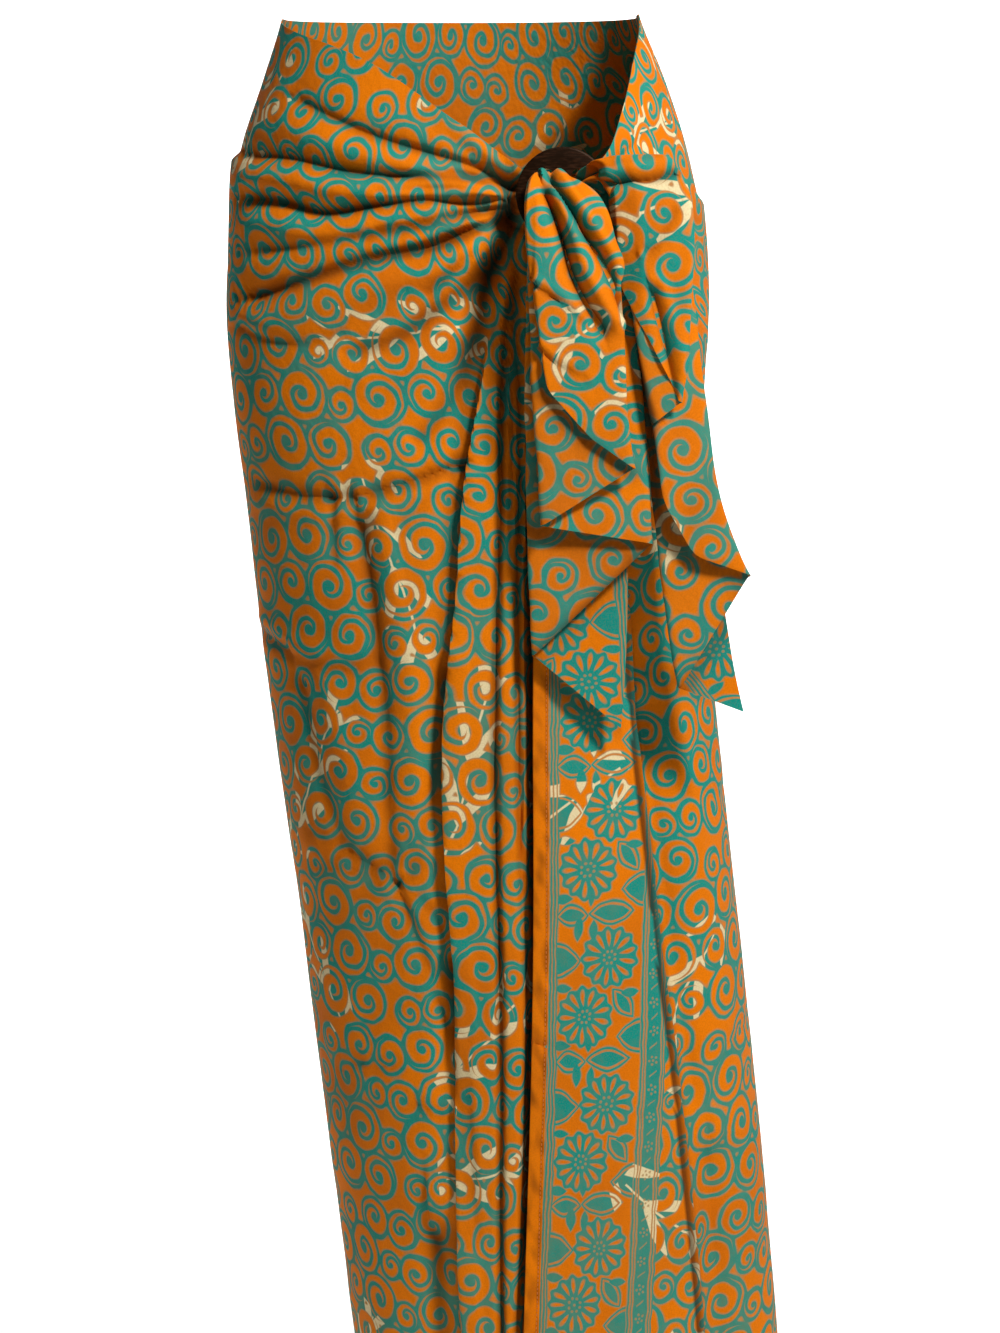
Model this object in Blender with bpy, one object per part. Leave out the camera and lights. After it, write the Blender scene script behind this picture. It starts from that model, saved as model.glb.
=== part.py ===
"""A batik sarong in its worn shape, held up by a round two-slot coconut-shell buckle."""
import bpy
import numpy as np

for old in list(bpy.data.objects):
    bpy.data.objects.remove(old, do_unlink=True)

MM = 0.001

# Driving dimensions in millimetres
WALL = 1.2
TAIL_WALL = 1.0
SEAM_GAP = 0.3
RING_POWER = 2.2
HEM_SIDE = -1168.0
HEM_FRONT = -955.0
BACK_RISE = 9.0
PLEAT_STEP = 7.0
LAP_HEIGHT = 10.0
UNDERLAP_LEVEL = -3.0
STRIP_WIDTH = 10.0
STRIP_WALL = 0.8
STRIP_TOP = -172.0
LAYER_DEPTH = 4.6
SLOT_PITCH = 1.5
GATHER_GAP = 0.7

DISC_X = 68.5
DISC_Z = -125.5
DISC_RADIUS = 30.2
DISC_BACK = -120.0
DISC_EDGE = 2.4
DISC_DOME = 3.8
SLOT_SPREAD = 10.5
SLOT_Z = -129.0
SLOT_HALF_WIDTH = 5.2
SLOT_HALF_LENGTH = 20.0

# Worn sections: height, left, right, front, back
SECTIONS = [
    (-1200, -55, 250, -136, 131), (-957, -80, 234, -130, 127), (-860, -91, 226, -127, 126),
    (-740, -105, 214, -124, 125), (-630, -117, 201, -122, 125), (-530, -130, 189, -120, 125),
    (-430, -142, 178, -118, 126), (-330, -152, 170, -116, 127), (-260, -160, 171, -114, 126),
    (-190, -164, 173, -111, 122), (-140, -160, 168, -107, 116), (-90, -153, 158, -101, 108),
    (-40, -136, 141, -92, 97), (0, -123, 124, -84, 88), (30, -117, 116, -78, 82),
]

# Top edges: angle round the waist from the front in degrees, height
TOP_LEFT = [(-90, 2), (-63, -11), (-52, -17), (-37, -26), (-21, -41), (-3, -72), (7.5, -97), (12, -107), (19, -119)]
TOP_RIGHT = [(19, -121), (27, -110), (34, -95), (41, -68), (51, -34), (63, -12), (76, 1), (90, 4)]

# Lines down the front: height, then x of each line
FRONT_LINES = [
    # height, pleat edge, pleat two, pleat three, lap edge, underlap end, fold edge
    (-1200, 22, 38, 34, 38, 92, 190),
    (-900, 6, 30, 40, 45, 98, 164),
    (-810, 2, 29, 46, 47, 100, 155),
    (-720, 0, 29, 47.5, 49, 102, 145),
    (-640, 0, 28, 46.5, 50, 102, 134),
    (-580, -5, 26, 43, 50, 102, 127),
    (-470, -7, 24.5, 40, 49, 102, 114),
    (-390, 1, 26, 39.5, 49, 101, 108),
    (-320, 6, 28, 41, 50, 100, 104),
    (-260, 14, 29, 40.5, 51, 98, 104),
    (-215, 20, 32, 39, 54, 93, 106),
    (-175, 27, 37, 41, 61, 82, 108),
    (-140, 37, 42, 46, 70, 70, 110),
    (-110, 48, 52, 56, 76, 62, 112),
    (0, 60, 64, 70, 90, 60, 115),
]

# Folds drawn into the buckle: name, start x, z, middle x, z, far x, z, depth, width, strength left at the far end
LEFT_FOLDS = [
    ("under_top_edge", 36, -119, -37, -92, -133, -60, 6.0, 7.0, 0.35),
    ("upper_ridge", 34, -123, -30, -111, -150, -88, -5.5, 9.0, 0.25),
    ("deep_valley", 34, -127, -40, -132, -118, -130, 9.5, 7.0, 0.15),
    ("middle_ridge", 33, -133, -60, -150, -145, -158, -5.0, 10.5, 0.30),
    ("hip_valley", 32, -140, -50, -167, -157, -185, 9.0, 8.5, 0.35),
    ("belly_valley", 28, -166, -10, -205, -88, -228, 6.5, 10.0, 0.22),
    ("lap_valley", 27, -168, 4, -240, -22, -315, 6.5, 8.5, 0.22),
    ("thigh_crease", 10, -290, -50, -318, -143, -321, 3.6, 9.0, 0.60),
    ("thigh_valley", -60, -350, -56, -430, -30, -575, 4.0, 15.0, 0.60),
    ("knee_crease", -20, -660, -45, -590, -112, -554, 3.4, 12.0, 0.50),
    ("calf_valley", -5, -690, 6, -760, 24, -840, 4.0, 12.0, 0.60),
    ("hem_valley", -20, -860, -14, -1000, -16, -1180, 8.5, 23.0, 1.00),
]
RIGHT_FOLDS = [
    ("upper_crease", 96, -108, 112, -92, 128, -76, 2.4, 6.0, 0.20),
    ("side_valley", 100, -128, 128, -150, 160, -160, 4.0, 9.0, 0.20),
    ("hip_fold", 100, -150, 125, -195, 158, -240, 4.0, 11.0, 0.20),
    ("calf_crease", 142, -716, 175, -712, 208, -704, 2.2, 9.0, 0.40),
    ("hem_valley", 200, -820, 212, -1000, 222, -1180, 6.0, 20.0, 1.00),
]
BACK_FOLDS = [
    ("waist_left", -118, -30, -70, -60, -20, -72, 3.0, 10.0, 0.20),
    ("waist_right", 112, -28, 70, -64, 24, -84, 3.0, 10.0, 0.20),
    ("seat_left", -140, -250, -80, -262, -30, -285, 3.0, 16.0, 0.20),
    ("seat_right", 150, -250, 90, -268, 40, -290, 3.0, 16.0, 0.20),
    ("drop_left", -84, -420, -60, -760, -30, -1180, 8.0, 26.0, 1.00),
    ("drop_middle", 20, -360, 50, -760, 66, -1180, 9.0, 28.0, 1.00),
    ("drop_right", 120, -440, 140, -760, 160, -1180, 8.0, 26.0, 1.00),
]

# Tails, a row per line down the cloth from the slot to the edge. Turn is +1 or -1 at a fold to that side.
# name, turn, slot x, z, elbow x, y, z, fall x, z, end x, y, z
TAIL_A = [
    ("selvedge_start", 0, 55.0, -113, 43, -142, -110, 42, -132, 44, -152, -152),
    ("selvedge_side", 0, 56.0, -114, 43, -160, -104, 42, -150, 49, -162, -190),
    ("selvedge_low", 0, 57.5, -115, 50, -174, -102, 46, -190, 58, -167, -250),
    ("selvedge_turn", 0, 59.5, -116, 88, -180, -100, 72, -200, 86, -168, -281),
    ("fold_one", 1, 61.0, -118, 118, -176, -108, 96, -225, 112, -166, -300),
    ("fold_two", -1, 55.0, -124, 44, -162, -110, 47, -230, 57, -158, -337),
    ("fold_three", 1, 61.0, -130, 112, -150, -112, 118, -246, 125, -149, -350),
    ("fold_four", -1, 55.0, -136, 44, -146, -124, 44, -280, 51, -141, -424),
    ("short_edge", 0, 61.0, -144, 96, -140, -124, 122, -310, 108, -136, -473),
]
TAIL_B = [
    ("selvedge_start", 0, 76.5, -113, 92, -140, -98, 97, -116, 99, -147, -146),
    ("selvedge_side", 0, 77.5, -114, 104, -160, -84, 99, -140, 105, -158, -186),
    ("selvedge_low", 0, 79.0, -115, 128, -170, -70, 110, -160, 124, -165, -222),
    ("fold_one", 1, 82.0, -118, 172, -168, -62, 146, -180, 142, -166, -258),
    ("fold_two", -1, 76.0, -124, 110, -160, -88, 108, -200, 127, -160, -272),
    ("edge_middle", 0, 78.5, -126, 140, -156, -74, 116, -230, 133, -159, -322),
    ("edge_low", 0, 80.5, -128, 170, -151, -62, 136, -250, 154, -156, -357),
    ("fold_three", 1, 82.0, -130, 188, -143, -56, 152, -270, 189, -152, -370),
    ("fold_four", -1, 76.0, -136, 122, -146, -98, 118, -300, 147, -142, -445),
    ("short_edge", 0, 82.0, -144, 176, -130, -76, 168, -300, 189, -136, -462),
]


def smooth_curve(at, stations, values):
    """Curve through the stations, whose slopes come from their neighbours."""
    stations = np.asarray(stations, float)
    values = np.asarray(values, float)
    slopes = np.gradient(values, stations)
    i = np.clip(np.searchsorted(stations, at) - 1, 0, len(stations) - 2)
    span = stations[i + 1] - stations[i]
    t = np.clip((at - stations[i]) / span, 0.0, 1.0)
    first = (2 * t**3 - 3 * t**2 + 1) * values[i] + (t**3 - 2 * t**2 + t) * span * slopes[i]
    second = (3 * t**2 - 2 * t**3) * values[i + 1] + (t**3 - t**2) * span * slopes[i + 1]
    return first + second


def column(table, number, at):
    """Value of one column of a table at the heights or angles asked for."""
    stations = [row[0] for row in table]
    return smooth_curve(at, stations, [row[number] for row in table])


def ease(t):
    """Smooth step from nought to one."""
    t = np.clip(t, 0.0, 1.0)
    return t * t * (3 - 2 * t)


def signed_power(value, power):
    """Power that keeps the sign."""
    return np.sign(value) * np.abs(value) ** power


def ring_x(angle, z):
    """x of the worn body at an angle round it, nought at the front."""
    left = column(SECTIONS, 1, z)
    right = column(SECTIONS, 2, z)
    return (left + right) / 2 + (right - left) / 2 * signed_power(np.sin(angle), 2 / RING_POWER)


def ring_angle(x, z):
    """Angle round the front of the body at which x is reached."""
    left = column(SECTIONS, 1, z)
    right = column(SECTIONS, 2, z)
    share = (x - (left + right) / 2) / ((right - left) / 2)
    return np.arcsin(np.clip(signed_power(share, RING_POWER / 2), -1.0, 1.0))


def ring_point(angle, z, height):
    """Points of the body at angle and z, moved outward by height."""
    x = ring_x(angle, z)
    front = column(SECTIONS, 3, z)
    back = column(SECTIONS, 4, z)
    depth = np.where(np.cos(angle) > 0, -front, back)
    y = -depth * signed_power(np.cos(angle), 2 / RING_POWER)
    width = (column(SECTIONS, 2, z) - column(SECTIONS, 1, z)) / 2
    nx = signed_power(np.sin(angle), 2 - 2 / RING_POWER) / width
    ny = -signed_power(np.cos(angle), 2 - 2 / RING_POWER) / depth
    size = np.hypot(nx, ny)
    return np.stack([x + height * nx / size, y + height * ny / size, z + 0 * x], axis=-1)


def fold_height(folds, x, z):
    """Sum of the folds of a table at x and z."""
    total = np.zeros(np.broadcast(x, z).shape)
    t = np.linspace(0.0, 1.0, 29)
    for name, x0, z0, x1, z1, x2, z2, depth, width, left_over in folds:
        bend_x = 2 * x1 - (x0 + x2) / 2
        bend_z = 2 * z1 - (z0 + z2) / 2
        px = (1 - t) ** 2 * x0 + 2 * t * (1 - t) * bend_x + t**2 * x2
        pz = (1 - t) ** 2 * z0 + 2 * t * (1 - t) * bend_z + t**2 * z2
        gap = np.hypot(x[..., None] - px, z[..., None] - pz)
        near = np.argmin(gap, axis=-1)
        distance = np.min(gap, axis=-1)
        along = t[near]
        spread = width * (1 + 0.8 * along)
        strength = depth * (1 - (1 - left_over) * along)
        total -= strength * np.exp(-((distance / spread) ** 2))
    return total


def left_height(angle, x, z):
    """How far the left front stands off the body."""
    pleat = column(FRONT_LINES, 1, z)
    second = column(FRONT_LINES, 2, z)
    third = column(FRONT_LINES, 3, z)
    lap = column(FRONT_LINES, 4, z)
    rise = PLEAT_STEP * ease((x - pleat + 4) / 9)
    valley = -3.0 * np.exp(-(((x - pleat + 9) / 8) ** 2)) * ease((-150 - z) / 90)
    grooves = -2.6 * np.exp(-(((x - second) / 4) ** 2)) * ease((-170 - z) / 60)
    grooves -= 1.8 * np.exp(-(((x - third) / 3.5) ** 2)) * ease((-200 - z) / 60)
    under = (UNDERLAP_LEVEL - PLEAT_STEP) * ease((x - lap + 2) / 14)
    folds = fold_height(LEFT_FOLDS, x, z) * ease((pleat + 16 - x) / 14)
    seam = ease((np.degrees(angle) + 90) / 16)
    return (rise + valley + grooves + under + folds) * seam


def right_height(angle, x, z):
    """How far the right front, which laps over the left one, stands off the body."""
    fold = column(FRONT_LINES, 6, z)
    step = LAP_HEIGHT - 8.0 * ease((x - fold + 2) / 10) * ease((-250 - z) / 150)
    trough = -2.5 * np.exp(-(((x - fold - 14) / 9) ** 2)) * ease((-400 - z) / 150)
    seam = ease((90 - np.degrees(angle)) / 40)
    folds = fold_height(RIGHT_FOLDS, x, z) * ease((90 - np.degrees(angle)) / 16)
    return (step + trough) * seam + folds


def back_height(angle, x, z):
    """How far the back stands off the body."""
    turned = np.degrees(angle)
    seam = ease((turned - 90) / 16) * ease((270 - turned) / 16)
    return fold_height(BACK_FOLDS, x, z) * seam


def hem_height(distance):
    """Height of the hem at a distance in degrees from the short edge of the cloth."""
    return HEM_SIDE + (HEM_FRONT - HEM_SIDE) * np.clip(1 - distance / 150, 0, 1) ** 2.6


def row_heights(top, hem, rows, share):
    """Heights from the top edge to the hem, closer together in the first half."""
    step = np.linspace(0.0, 1.0, rows + 1)
    drop = smooth_curve(step, [0.0, 0.5, 1.0], [0.0, share, 1.0])
    return top[None, :] + (hem - top)[None, :] * drop[:, None]


def left_points():
    """Outer surface of the left front, from the side to the end of its underlap."""
    marks = [0.0, 0.30, 0.62, 0.90, 1.0]
    share = smooth_curve(np.linspace(0, 1, 43), [0.0, 0.28, 0.50, 0.90, 1.0], marks)
    side = -np.pi / 2 + SEAM_GAP / 2 / 84
    top_end = np.radians(19.0)
    top = column(TOP_LEFT, 1, np.degrees(side + (top_end - side) * share))
    hem = hem_height((1 - share) * 100)
    z = row_heights(top, hem, 30, 0.17)
    blend = ease((-118 - z) / 40)
    end = ring_angle(column(FRONT_LINES, 5, z), z) * blend + top_end * (1 - blend)
    angle = side + (end - side) * share[None, :]
    return ring_point(angle, z, left_height(angle, ring_x(angle, z), z))


def right_angles(share, z):
    """Angles of the right front between its lap edge and the side."""
    side = np.pi / 2 - SEAM_GAP / 2 / 84
    blend = ease((-118 - z) / 40)
    start = ring_angle(column(FRONT_LINES, 4, z), z) * blend + np.radians(24.0) * (1 - blend)
    return start + (side - start) * share


def right_surface(share, z):
    """Outer surface of the right front at a share of its width and a height."""
    angle = right_angles(share, z)
    return ring_point(angle, z, right_height(angle, ring_x(angle, z), z))


def right_points():
    """Outer surface of the right front, from its lap edge to the side."""
    share = smooth_curve(np.linspace(0, 1, 21), [0.0, 0.4, 0.75, 1.0], [0.0, 0.36, 0.66, 1.0])
    top = column(TOP_RIGHT, 1, 24 + 66 * share)
    hem = hem_height(share * 100)
    z = row_heights(top, hem, 24, 0.20)
    return right_surface(share[None, :], z)


def back_points():
    """Outer surface of the back, from side to side."""
    share = np.linspace(0, 1, 21)
    gap = SEAM_GAP / 2 / 88
    angle = (np.pi / 2 + gap + (np.pi - 2 * gap) * share)[None, :]
    top = 3.0 + share * -1.0 + BACK_RISE * np.sin(np.pi * share)
    hem = hem_height(100 + 50 * np.sin(np.pi * share))
    z = row_heights(top, hem, 14, 0.26)
    angle = angle + 0 * z
    return ring_point(angle, z, back_height(angle, ring_x(angle, z), z))


def normals_of(points):
    """Unit normals of a grid of points."""
    down = np.gradient(points, axis=0)
    across = np.gradient(points, axis=1)
    normal = np.cross(down, across)
    return normal / np.linalg.norm(normal, axis=-1, keepdims=True)


def make_material(name, colour, roughness):
    """Plain material of a part."""
    material = bpy.data.materials.new(name)
    material.use_nodes = True
    shader = material.node_tree.nodes["Principled BSDF"]
    shader.inputs["Base Color"].default_value = (*colour, 1.0)
    shader.inputs["Roughness"].default_value = roughness
    return material


def add_mesh(name, vertices, faces, material):
    """Object made from vertices in millimetres."""
    mesh = bpy.data.meshes.new(name)
    mesh.from_pydata([tuple(float(c) * MM for c in v) for v in vertices], [], faces)
    mesh.update()
    mesh.materials.append(material)
    for polygon in mesh.polygons:
        polygon.use_smooth = True
    part = bpy.data.objects.new(name, mesh)
    bpy.context.scene.collection.objects.link(part)
    return part


def cloth_solid(name, face, lining, material):
    """Closed wall of cloth between two grids of points."""
    rows, columns = face.shape[:2]
    vertices = np.concatenate([face.reshape(-1, 3), lining.reshape(-1, 3)])
    shift = rows * columns
    faces = []
    for i in range(rows - 1):
        for j in range(columns - 1):
            a = i * columns + j
            b = a + 1
            c = a + columns + 1
            d = a + columns
            if (i + j) % 2:
                faces += [(a, c, b), (a, d, c)]
                faces += [(a + shift, b + shift, c + shift), (a + shift, c + shift, d + shift)]
            else:
                faces += [(a, d, b), (b, d, c)]
                faces += [(a + shift, b + shift, d + shift), (b + shift, c + shift, d + shift)]
    rim = [j for j in range(columns)]
    rim += [i * columns + columns - 1 for i in range(1, rows)]
    rim += [(rows - 1) * columns + j for j in range(columns - 2, -1, -1)]
    rim += [i * columns for i in range(rows - 2, 0, -1)]
    for k, a in enumerate(rim):
        b = rim[(k + 1) % len(rim)]
        faces += [(a, b, b + shift), (a, b + shift, a + shift)]
    return add_mesh(name, vertices, faces, material)


def panel_solid(name, points, wall, material):
    """Wall of cloth inward from its outer surface."""
    return cloth_solid(name, points, points - wall * normals_of(points), material)


def gather_depth(x, z, height_of):
    """Depth at which a tail leaves the front below it, just clear of the cloth."""
    foot = np.array([x])
    level = np.array([float(z)])
    for step in range(4):
        angle = ring_angle(foot, level)
        point = ring_point(angle, level, height_of(angle, foot, level))
        foot = foot - (point[:, 0] - x)
    return float(point[0, 1]) - GATHER_GAP


def tail_rows(table, height_of):
    """Lines of a tail with the rounded turn of each fold added."""
    lines = []
    for name, turn, sx, sz, ex, ey, ez, fx, fz, px, py, pz in table:
        for k in (-1, 0, 1) if turn else (0,):
            out = turn * (1 - k * k)
            shift = k * LAYER_DEPTH / 2
            slot_z = sz - k * SLOT_PITCH
            slot_x = sx + out * 1.0
            lines.append([
                (slot_x, gather_depth(slot_x, slot_z, height_of), slot_z), (slot_x, DISC_BACK - 5.0, slot_z),
                (ex + out * 2.4, ey + shift, ez - k * 2.0), (fx + out * 2.4, py + shift, fz),
                (px + out * 2.4, py + shift, pz - k * 1.0)])
    return np.array(lines, float)


def tail_points(table, height_of, counts, steps):
    """Middle surface of a tail: a cubic curve from the slot to the edge for each line."""
    lines = tail_rows(table, height_of)
    dense = [lines[0]]
    for k in range(len(lines) - 1):
        for m in range(1, counts[k] + 1):
            dense.append(lines[k] + (lines[k + 1] - lines[k]) * m / counts[k])
    dense = np.array(dense)
    t = (np.linspace(0, 1, steps + 1) ** 1.25)[:, None, None]
    slot, first, second, last = dense[:, 1], dense[:, 2], dense[:, 3], dense[:, 4]
    curve = (1 - t) ** 3 * slot + 3 * t * (1 - t) ** 2 * first + 3 * t**2 * (1 - t) * second + t**3 * last
    return np.concatenate([dense[None, :, 0], curve])


def tail_solid(name, points, wall, material):
    """Wall of cloth on both sides of the middle surface."""
    normal = normals_of(points)
    return cloth_solid(name, points + wall / 2 * normal, points - wall / 2 * normal, material)


def buckle_profile():
    """Radius and depth of the domed disc from its back to its front."""
    r = DISC_RADIUS
    edge = [(0.0, 0.0), (r - 1.0, 0.0), (r - 0.3, 0.3), (r, 1.0), (r, DISC_EDGE - 0.9), (r - 0.4, DISC_EDGE - 0.3)]
    dome = [(r - 1.2, DISC_EDGE), (r * 0.8, DISC_EDGE + (DISC_DOME - DISC_EDGE) * 0.36), (0.0, DISC_DOME)]
    return edge + dome


def make_buckle(material):
    """Domed disc with two upright slots cut through it."""
    profile = buckle_profile()
    sides = 44
    vertices = [(DISC_X, DISC_BACK, DISC_Z)]
    for radius, depth in profile[1:-1]:
        for k in range(sides):
            turn = 2 * np.pi * k / sides
            vertices.append((DISC_X + radius * np.cos(turn), DISC_BACK - depth, DISC_Z + radius * np.sin(turn)))
    vertices.append((DISC_X, DISC_BACK - profile[-1][1], DISC_Z))
    faces = []
    rings = len(profile) - 2
    for k in range(sides):
        n = (k + 1) % sides
        faces.append((0, 1 + k, 1 + n))
        for ring in range(rings - 1):
            a = 1 + ring * sides
            faces.append((a + k, a + sides + k, a + sides + n, a + n))
        a = 1 + (rings - 1) * sides
        faces.append((a + k, len(vertices) - 1, a + n))
    disc = add_mesh("buckle", vertices, faces, material)
    for name, side in (("slot_left", -1), ("slot_right", 1)):
        outline = []
        for k in range(20):
            turn = 2 * np.pi * (k + 0.5) / 20
            end = 1 if np.sin(turn) > 0 else -1
            x = DISC_X + side * SLOT_SPREAD + SLOT_HALF_WIDTH * np.cos(turn)
            z = SLOT_Z + end * (SLOT_HALF_LENGTH - SLOT_HALF_WIDTH) + SLOT_HALF_WIDTH * np.sin(turn)
            outline.append((x, z))
        count = len(outline)
        cut_vertices = [(x, DISC_BACK + 5, z) for x, z in outline] + [(x, DISC_BACK - 15, z) for x, z in outline]
        cut_faces = [tuple(range(count - 1, -1, -1)), tuple(range(count, 2 * count))]
        cut_faces += [(k, (k + 1) % count, (k + 1) % count + count, k + count) for k in range(count)]
        cutter = add_mesh(name, cut_vertices, cut_faces, material)
        cutter.hide_render = True
        cutter.display_type = "WIRE"
        cut = disc.modifiers.new(name, "BOOLEAN")
        cut.operation = "DIFFERENCE"
        cut.solver = "EXACT"
        cut.object = cutter
    return disc


def strip_points(offset):
    """Turned hem of the short edge, laid along the lap edge of the right front."""
    z = np.linspace(STRIP_TOP, HEM_FRONT - 1.5, 30)[:, None]
    spread = ring_angle(column(FRONT_LINES, 4, z) + STRIP_WIDTH, z) - right_angles(0.0, z)
    full = np.pi / 2 - right_angles(0.0, z)
    share = spread / full * np.linspace(0.0, 1.0, 3)[None, :] + 0.3 / 150
    points = right_surface(share, z + 0 * share)
    return points + offset * normals_of(points)


batik_left = make_material("batik_left", (0.80, 0.28, 0.03), 0.75)
batik_right = make_material("batik_right", (0.78, 0.26, 0.03), 0.75)
batik_back = make_material("batik_back", (0.76, 0.27, 0.04), 0.75)
batik_tail = make_material("batik_tail", (0.82, 0.30, 0.03), 0.72)
batik_tip = make_material("batik_tip", (0.80, 0.29, 0.03), 0.72)
hem_cloth = make_material("hem_cloth", (0.85, 0.32, 0.03), 0.70)
coconut = make_material("coconut_shell", (0.06, 0.025, 0.012), 0.28)

LEFT_COUNTS = (3, 3, 3, 3, 1, 1, 3, 1, 1, 3, 1, 1, 3, 1, 1, 3)
RIGHT_COUNTS = (3, 3, 3, 1, 1, 2, 1, 1, 2, 2, 2, 1, 1, 3, 1, 1, 3)

panel_solid("left_front", left_points(), WALL, batik_left)
panel_solid("right_front", right_points(), WALL, batik_right)
panel_solid("back_wrap", back_points(), WALL, batik_back)
cloth_solid("hem_strip", strip_points(SEAM_GAP + STRIP_WALL), strip_points(SEAM_GAP), hem_cloth)
tail_solid("left_tail", tail_points(TAIL_A, left_height, LEFT_COUNTS, 11), TAIL_WALL, batik_tail)
tail_solid("right_tail", tail_points(TAIL_B, right_height, RIGHT_COUNTS, 11), TAIL_WALL, batik_tip)
make_buckle(coconut)
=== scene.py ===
"""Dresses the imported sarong: batik cloth in worn folds, a stitched hem and a coconut-shell buckle."""
import logging
import math
from collections.abc import Callable
from dataclasses import dataclass, field
from enum import Enum, IntEnum

import bpy
import numpy as np
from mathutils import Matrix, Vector


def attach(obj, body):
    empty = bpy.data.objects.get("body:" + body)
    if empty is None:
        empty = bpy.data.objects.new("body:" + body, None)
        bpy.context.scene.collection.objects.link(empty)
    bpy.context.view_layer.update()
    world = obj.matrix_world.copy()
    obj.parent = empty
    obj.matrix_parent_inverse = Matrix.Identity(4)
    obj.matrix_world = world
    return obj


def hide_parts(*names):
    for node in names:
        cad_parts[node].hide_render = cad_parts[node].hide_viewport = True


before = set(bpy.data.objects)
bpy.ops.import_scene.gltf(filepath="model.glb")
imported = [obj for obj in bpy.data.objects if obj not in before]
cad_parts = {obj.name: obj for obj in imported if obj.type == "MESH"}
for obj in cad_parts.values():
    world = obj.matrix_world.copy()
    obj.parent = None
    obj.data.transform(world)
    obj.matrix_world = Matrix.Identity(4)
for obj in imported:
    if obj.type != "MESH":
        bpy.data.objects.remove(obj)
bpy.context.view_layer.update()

LOG = logging.getLogger("sarong")
MM = 0.001
Array = np.ndarray
Colour = tuple[float, float, float]
Point = tuple[float, float, float]
Path = tuple[tuple[float, float], ...]


class Layer(Enum):
    """Which side of the cloth a finish is for."""

    RIGHT_SIDE = "right_side"
    WRONG_SIDE = "wrong_side"


class Ring(IntEnum):
    """Columns of a section of the worn form."""

    HEIGHT = 0
    LEFT = 1
    RIGHT = 2
    FRONT = 3
    BACK = 4


class Line(IntEnum):
    """Columns of the lines that run down the front."""

    HEIGHT = 0
    PLEAT = 1
    SECOND = 2
    THIRD = 3
    LAP = 4
    UNDERLAP = 5
    BORDER = 6


# Curves and waves


def smooth_curve(at: Array, stations: list[float], values: list[float]) -> Array:
    """Cubic Hermite curve through the stations, each slope taken from its neighbours.

    Args:
        at: Places to read the curve at.
        stations: Rising places where the value is known.
        values: Value at each station.

    Returns:
        The curve's value at each place, held flat beyond the ends.
    """
    known = np.asarray(stations, float)
    value = np.asarray(values, float)
    slope = np.gradient(value, known)
    i = np.clip(np.searchsorted(known, at) - 1, 0, len(known) - 2)
    span = known[i + 1] - known[i]
    t = np.clip((at - known[i]) / span, 0.0, 1.0)
    first = (2 * t**3 - 3 * t**2 + 1) * value[i] + (t**3 - 2 * t**2 + t) * span * slope[i]
    second = (3 * t**2 - 2 * t**3) * value[i + 1] + (t**3 - t**2) * span * slope[i + 1]
    return first + second


def read_rows(rows: tuple, column: int, at: Array) -> Array:
    """One column of a table read at places in its first column, on a smooth curve."""
    return smooth_curve(at, [row[0] for row in rows], [row[column] for row in rows])


def ease(t: Array) -> Array:
    """Smooth step: three t squared less two t cubed, held between nought and one."""
    t = np.clip(t, 0.0, 1.0)
    return t * t * (3 - 2 * t)


def bell(value: Array, middle: Array | float, width: float) -> Array:
    """Bell curve: one at the middle, falling with the square of the distance in widths."""
    return np.exp(-(((value - middle) / width) ** 2))


def signed_power(value: Array, power: float) -> Array:
    """The size of value raised to a power, with value's own sign."""
    return np.sign(value) * np.abs(value) ** power


def rumple(p: Array, q: Array, seed: int, low: float, high: float) -> Array:
    """Soft irregular waves, a mean of sines with random directions and wavelengths.

    Args:
        p: First coordinate in millimetres.
        q: Second coordinate in millimetres.
        seed: Seed of the random directions.
        low: Shortest wavelength in millimetres.
        high: Longest wavelength in millimetres.

    Returns:
        Waves of about unit size.
    """
    waves, usual_size = 9, 4.0
    rng = np.random.default_rng(seed)
    total = np.zeros(np.broadcast(p, q).shape)
    for _ in range(waves):
        turn, phase = rng.uniform(0, 2 * np.pi, 2)
        wave = 2 * np.pi / rng.uniform(low, high)
        total += np.sin(wave * (p * np.cos(turn) + q * np.sin(turn)) + phase)
    return total / usual_size


# The worn form


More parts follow.
